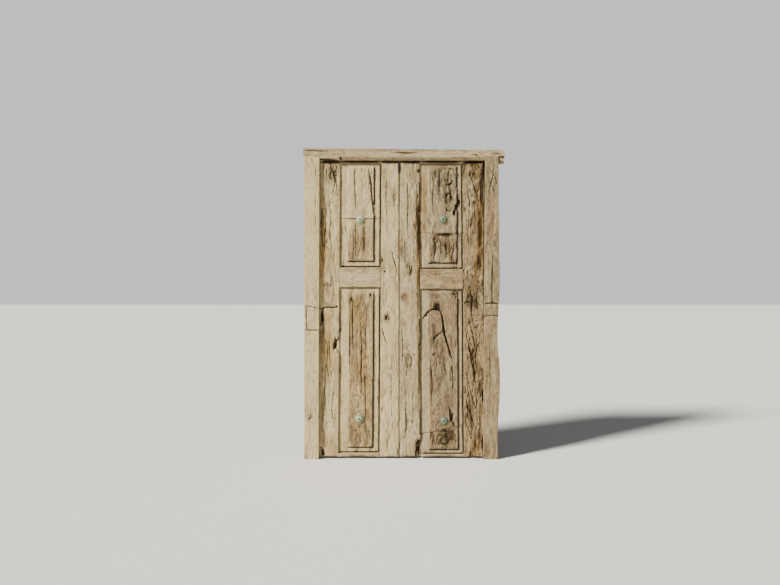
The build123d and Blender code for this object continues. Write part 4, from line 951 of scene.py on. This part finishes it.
def verdigris_finish(name, metal, dull):
    """Cast bronze under a chalky green crust, which is greyer and thinner on a dull boss."""
    finish = Finish(name, Metallic=0.15, IOR=1.5)
    x, y, z = finish.place()
    crust = finish.noise(x / 0.011, y / 0.011, z / 0.011, 5.0, 0.65, 0.4)
    fine = finish.noise(x / 0.003, y / 0.003, z / 0.003, 3.0, 0.6)
    crusted = shade(metal.verdigris, 1 - 0.42 * dull)
    base = finish.blend(crust.band(0.42 - 0.1 * dull, 0.68 - 0.1 * dull), crusted, metal.patina)
    base = finish.blend(fine.band(0.62, 0.8) * 0.5, base, shade(metal.patina, 0.6))
    base = finish.blend(finish.mark("hollow") * 0.92, base, shade(metal.patina, 0.2))
    base = finish.blend(finish.mark("rubbed") * crust.band(0.5, 0.7) * 0.6, base, metal.bronze)
    finish.coat(Base_Color=base, Roughness=0.5 + 0.3 * crust)
    finish.bump(crust + fine * 0.4, 0.0006)
    return finish.material


def iron_finish(name, metal, rust):
    """Old iron: dark scale, rust blooms and slightly brighter worn places."""
    finish = Finish(name, Metallic=0.6, IOR=1.5)
    x, y, z = finish.place()
    bloom = finish.noise(x / 0.012, y / 0.012, z / 0.016, 5.0, 0.65, 0.3)
    pits = finish.noise(x / 0.0022, y / 0.0022, z / 0.0022, 3.0, 0.6)
    base = finish.blend(bloom.band(0.62 - 0.25 * rust, 0.78 - 0.2 * rust), metal.iron, metal.iron_rust)
    base = finish.blend(pits.band(0.55, 0.75) * 0.6, base, shade(metal.iron, 0.4))
    finish.coat(Base_Color=base, Metallic=0.75 - 0.6 * bloom.band(0.4, 0.6), Roughness=0.45 + 0.4 * bloom)
    finish.bump(bloom * 0.6 - pits, 0.0004)
    return finish.material


def dress_boards(boards, timber, name, tint, lying=False):
    """Carves some boards, and gives them one finish."""
    finish = timber_finish(name, timber, lying, tint)
    for board in boards:
        dress_board(board, timber, finish)


def bare_nodes(nodes, material):
    """Gives carried-over CAD nodes their finish."""
    for node in nodes:
        for slot in frame["nodes"][node].material_slots:
            slot.material = material


# Outline of a boss, from the middle of its cup to the middle of its back: shares of the radius and the height
boss_outline = [
    (0.0, 0.60), (0.08, 0.60), (0.15, 0.62), (0.19, 0.74), (0.205, 0.93), (0.23, 0.995), (0.30, 1.0),
    (0.40, 0.96), (0.52, 0.87), (0.62, 0.74), (0.71, 0.58), (0.78, 0.44), (0.82, 0.34), (0.845, 0.30),
    (0.87, 0.32), (0.90, 0.38), (0.935, 0.37), (0.965, 0.28), (0.99, 0.13), (0.995, 0.0), (0.5, 0.0),
    (0.0, 0.0),
]
boss_crests = (0.30, 0.90, 0.935)
boss_cup, boss_groove = 0.19, (0.78, 0.88)


def dress_boss(node, seed, material):
    """Turns one boss on a fine outline and leaves the dents of casting and hammering in it."""
    low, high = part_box(node)
    middle_x, middle_z = (low[0] + high[0]) / 2, (low[2] + high[2]) / 2
    radius, height, back = (high[0] - low[0]) / 2, high[1] - low[1], high[1]
    around = 72
    chance = Chance(seed)
    turned = bmesh.new()
    hollow = turned.verts.layers.float.new("hollow")
    rubbed = turned.verts.layers.float.new("rubbed")
    rings = []
    for share, rise in boss_outline:
        in_groove = rise and boss_groove[0] <= share <= boss_groove[1]
        ring = []
        for i in range(around if share else 1):
            c, s = math.cos(2 * math.pi * i / around), math.sin(2 * math.pi * i / around)
            dent = float(chance.layers(np.array(4 + 2.2 * share * c), np.array(4 + 2.2 * share * s), 3))
            reach = share * radius * (1 - 0.02 * dent * (share > 0.8))
            lift = rise * height * (1 - 0.14 * dent * (share > 0 and rise > 0.1))
            vert = turned.verts.new((middle_x + reach * c, back - lift, middle_z + reach * s))
            vert[hollow] = 1.0 if share < boss_cup else 0.75 if in_groove else 0.0
            vert[rubbed] = 1.0 if share in boss_crests else 0.0
            ring.append(vert)
        rings.append(ring)
    for first, second in zip(rings, rings[1:]):
        for i in range(around):
            j = (i + 1) % around
            corners = [ring[k % len(ring)] for ring, k in ((first, i), (first, j), (second, j), (second, i))]
            turned.faces.new(list(dict.fromkeys(corners)))
    bmesh.ops.recalc_face_normals(turned, faces=turned.faces[:])
    soften(turned, 60)
    return as_piece(turned, f"{node}_cast", [node], body_of[node], slot_of[node], material)


def set_screws(node, material):
    """Three slotted screw heads, let in flush with one hinge plate's bare face."""
    low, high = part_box(node)
    into = 1 if ("right" in node) == ("frame" in node) else -1
    face = low[0] if into > 0 else high[0]
    radius, half_slot, steps_round = 0.0044, 0.0005, 14
    proud, sunk, slot_floor = 0.00008, 0.0012, 0.0007
    set_in, middle_set_in = 0.013, 0.023
    start = math.asin(half_slot / radius)
    arc = [start + (math.pi - 2 * start) * i / steps_round for i in range(steps_round + 1)]
    half = len(arc)
    heads = bmesh.new()

    def ring(centre, turn, angles, depth, size):
        spots = [Vector((depth * into, math.cos(angle) * size, math.sin(angle) * size)) for angle in angles]
        return [heads.verts.new(centre + turn @ spot) for spot in spots]

    for i, share in enumerate((0.14, 0.5, 0.86)):
        front = low[1] + (middle_set_in if i == 1 else set_in)
        centre = Vector((face, front, low[2] + (high[2] - low[2]) * share))
        turn = Matrix.Rotation(0.7 * i + 0.3, 3, "X")
        angles = arc + [math.pi + angle for angle in arc]
        top = ring(centre, turn, angles, -proud, radius)
        foot = ring(centre, turn, angles, sunk, 0.9 * radius)
        ends = (0, half - 1, half, -1)
        floor = ring(centre, turn, [angles[end] for end in ends], slot_floor, radius)
        lips = [top[end] for end in ends]
        for outline in (top[:half], top[half:], foot, floor):
            heads.faces.new(outline)
        for rim, wall in ((lips, floor), (top, foot)):
            for j in range(len(rim)):
                k = (j + 1) % len(rim)
                heads.faces.new((rim[j], rim[k], wall[k], wall[j]))
    bmesh.ops.recalc_face_normals(heads, faces=heads.faces[:])
    return as_piece(heads, node.replace("_plate", "_screws"), [], body_of[node], "nail_iron", material)


class DOOR_OT_frame(Operator):
    """Carves and colours the head and the two jambs"""

    bl_idname = "door.frame"
    bl_label = "Frame"

    def execute(self, context):
        timber = context.scene.door_timber
        left_jamb, right_jamb, head = frame_boards
        dress_boards([left_jamb], timber, "jamb_timber", (0.95, 0.95, 0.95))
        dress_boards([right_jamb], timber, "right_jamb_timber", (0.62, 0.62, 0.65))
        dress_boards([head], timber, "head_timber", (0.78, 0.78, 0.82), lying=True)
        return {"FINISHED"}


class DOOR_OT_stiles(Operator):
    """Carves and colours the four stiles of the leaves"""

    bl_idname = "door.stiles"
    bl_label = "Stiles"

    def execute(self, context):
        timber = context.scene.door_timber
        dress_boards(left_stiles, timber, "left_stile_timber", (0.93, 0.93, 0.93))
        dress_boards(right_stiles, timber, "right_stile_timber", (0.82, 0.83, 0.88))
        return {"FINISHED"}


class DOOR_OT_rails(Operator):
    """Carves and colours the rails, and colours the pegs that hold their tenons"""

    bl_idname = "door.rails"
    bl_label = "Rails and pegs"

    def execute(self, context):
        timber = context.scene.door_timber
        dress_boards(rail_boards, timber, "rail_timber", (0.86, 0.86, 0.90), lying=True)
        pegs = timber_finish("peg_timber", timber, False, (0.6, 0.56, 0.5))
        bare_nodes(["frame_pegs", "left_leaf_pegs", "right_leaf_pegs"], pegs)
        return {"FINISHED"}


class DOOR_OT_panels(Operator):
    """Carves and colours the boards of the four raised panels"""

    bl_idname = "door.panels"
    bl_label = "Panels"

    def execute(self, context):
        timber = context.scene.door_timber
        dress_boards(left_panels, timber, "left_panel_timber", (0.93, 0.93, 0.93))
        dress_boards(right_panels, timber, "right_panel_timber", (0.71, 0.72, 0.80))
        return {"FINISHED"}


class DOOR_OT_bosses(Operator):
    """Casts the four round bosses and colours their nails and roves"""

    bl_idname = "door.bosses"
    bl_label = "Bosses"

    def execute(self, context):
        metal = context.scene.door_metal
        dullness = {"left_upper": 0.0, "left_lower": 0.3, "right_upper": 1.2, "right_lower": 1.45}
        for seed, (place, dull) in enumerate(dullness.items(), 50):
            dress_boss(f"{place}_boss", seed, verdigris_finish(f"{place}_boss_metal", metal, dull))
        nails = iron_finish("nail_iron", metal, 0.2)
        bare_nodes(["left_boss_nails", "right_boss_nails", "left_boss_roves", "right_boss_roves"], nails)
        return {"FINISHED"}


class DOOR_OT_ironwork(Operator):
    """Colours the hinges, the slide bolt and its staples, and sets the hinge screws"""

    bl_idname = "door.ironwork"
    bl_label = "Hinges and bolt"

    def execute(self, context):
        metal = context.scene.door_metal
        hinges = iron_finish("hinge_iron", metal, 0.7)
        bolt = iron_finish("bolt_iron", metal, 0.25)
        nails = iron_finish("staple_nail_iron", metal, 0.8)
        bare_nodes([node for node in frame["nodes"] if slot_of[node] == "hinge_iron"], hinges)
        bare_nodes(["slide_bolt", "bolt_inner_staple", "bolt_outer_staple", "bolt_keeper"], bolt)
        bare_nodes(["bolt_staple_nails", "bolt_keeper_nails"], nails)
        for node in frame["nodes"]:
            if node.endswith("_plate"):
                set_screws(node, hinges)
        return {"FINISHED"}


def lay_floor(stage):
    """A wide, plain floor with faint clouds in its colour."""
    ground = bmesh.new()
    bmesh.ops.create_grid(ground, x_segments=1, y_segments=1, size=14.0)
    finish = Finish("floor_plaster", Roughness=0.9)
    x, y, z = finish.place()
    cloud = finish.noise(x / 0.6, y / 0.6, z, 3.0, 0.5)
    finish.coat(Base_Color=finish.blend(cloud * 0.12, stage.floor, shade(stage.floor, 0.8)))
    floor = meshed(ground, "floor", finish.material)
    floor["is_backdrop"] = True


def light_evenly(stage):
    """Even light from all round, behind which the camera sees the plain backdrop."""
    world = bpy.data.worlds.new("even_light")
    world.use_nodes = True
    tree = world.node_tree
    light = tree.nodes["Background"]
    light.inputs["Color"].default_value = (*linear(226, 228, 232), 1.0)
    light.inputs["Strength"].default_value = stage.fill
    seen = tree.nodes.new("ShaderNodeBackground")
    seen.inputs["Color"].default_value = (*stage.backdrop, 1.0)
    either = tree.nodes.new("ShaderNodeMixShader")
    tree.links.new(tree.nodes.new("ShaderNodeLightPath").outputs["Is Camera Ray"], either.inputs[0])
    tree.links.new(light.outputs[0], either.inputs[1])
    tree.links.new(seen.outputs[0], either.inputs[2])
    tree.links.new(either.outputs[0], tree.nodes["World Output"].inputs["Surface"])
    bpy.context.scene.world = world


def set_key_light(stage):
    """A broad, soft, slightly warm light from the upper left, in front of the door."""
    key = bpy.data.lights.new("key_light", "SUN")
    key.angle = math.radians(9)
    key.energy = stage.key_strength
    key.color = (1.0, 0.97, 0.92)
    lamp = in_scene("key_light", key)
    lamp.location = (-4.4, -2.5, 5.0)
    aim = Vector((0.0, 0.0, 1.0)) - lamp.location
    lamp.rotation_euler = aim.to_track_quat("-Z", "Y").to_euler()


def set_camera():
    """A level camera at eye height, a little to the right, whose picture is shifted onto the door."""
    lens = bpy.data.cameras.new("camera")
    lens.sensor_width = 36.0
    lens.lens = 30.3
    lens.shift_x = -0.0526
    lens.shift_y = -0.0494
    camera = in_scene("camera", lens)
    camera.location = (0.19, -4.64, 1.438)
    camera.rotation_euler = (math.pi / 2, 0, 0)
    bpy.context.scene.camera = camera


class DOOR_OT_stage(Operator):
    """Lays the plain pale floor, and sets the lights and the camera"""

    bl_idname = "door.stage"
    bl_label = "Stage"

    def execute(self, context):
        stage = context.scene.door_stage
        lay_floor(stage)
        light_evenly(stage)
        set_key_light(stage)
        set_camera()
        return {"FINISHED"}


steps = (
    DOOR_OT_frame, DOOR_OT_stiles, DOOR_OT_rails, DOOR_OT_panels,
    DOOR_OT_bosses, DOOR_OT_ironwork, DOOR_OT_stage,
)
settings = {"door_timber": TimberSettings, "door_metal": MetalSettings, "door_stage": StageSettings}


class DOOR_PT_pieces(Panel):
    """Lists the door's pieces and their settings"""

    bl_idname = "DOOR_PT_pieces"
    bl_label = "Weathered door"
    bl_space_type = "VIEW_3D"
    bl_region_type = "UI"
    bl_category = "Door"

    def draw(self, context):
        for step in steps:
            self.layout.operator(step.bl_idname)
        for name, group in settings.items():
            column = self.layout.column(align=True)
            for key in group.__annotations__:
                column.prop(getattr(context.scene, name), key)


def register():
    for group in settings.values():
        bpy.utils.register_class(group)
    for kind in (*steps, DOOR_PT_pieces):
        bpy.utils.register_class(kind)
    for name, group in settings.items():
        setattr(bpy.types.Scene, name, PointerProperty(type=group))


def unregister():
    for name in settings:
        delattr(bpy.types.Scene, name)
    for kind in (DOOR_PT_pieces, *reversed(steps), *settings.values()):
        bpy.utils.unregister_class(kind)


def main():
    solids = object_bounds()
    register()
    bpy.ops.door.frame()
    bpy.ops.door.stiles()
    bpy.ops.door.rails()
    bpy.ops.door.panels()
    bpy.ops.door.bosses()
    bpy.ops.door.ironwork()
    bpy.ops.door.stage()
    [[list(corner) for corner in box] for box in (solids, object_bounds())]


if __name__ == "__main__":
    main()
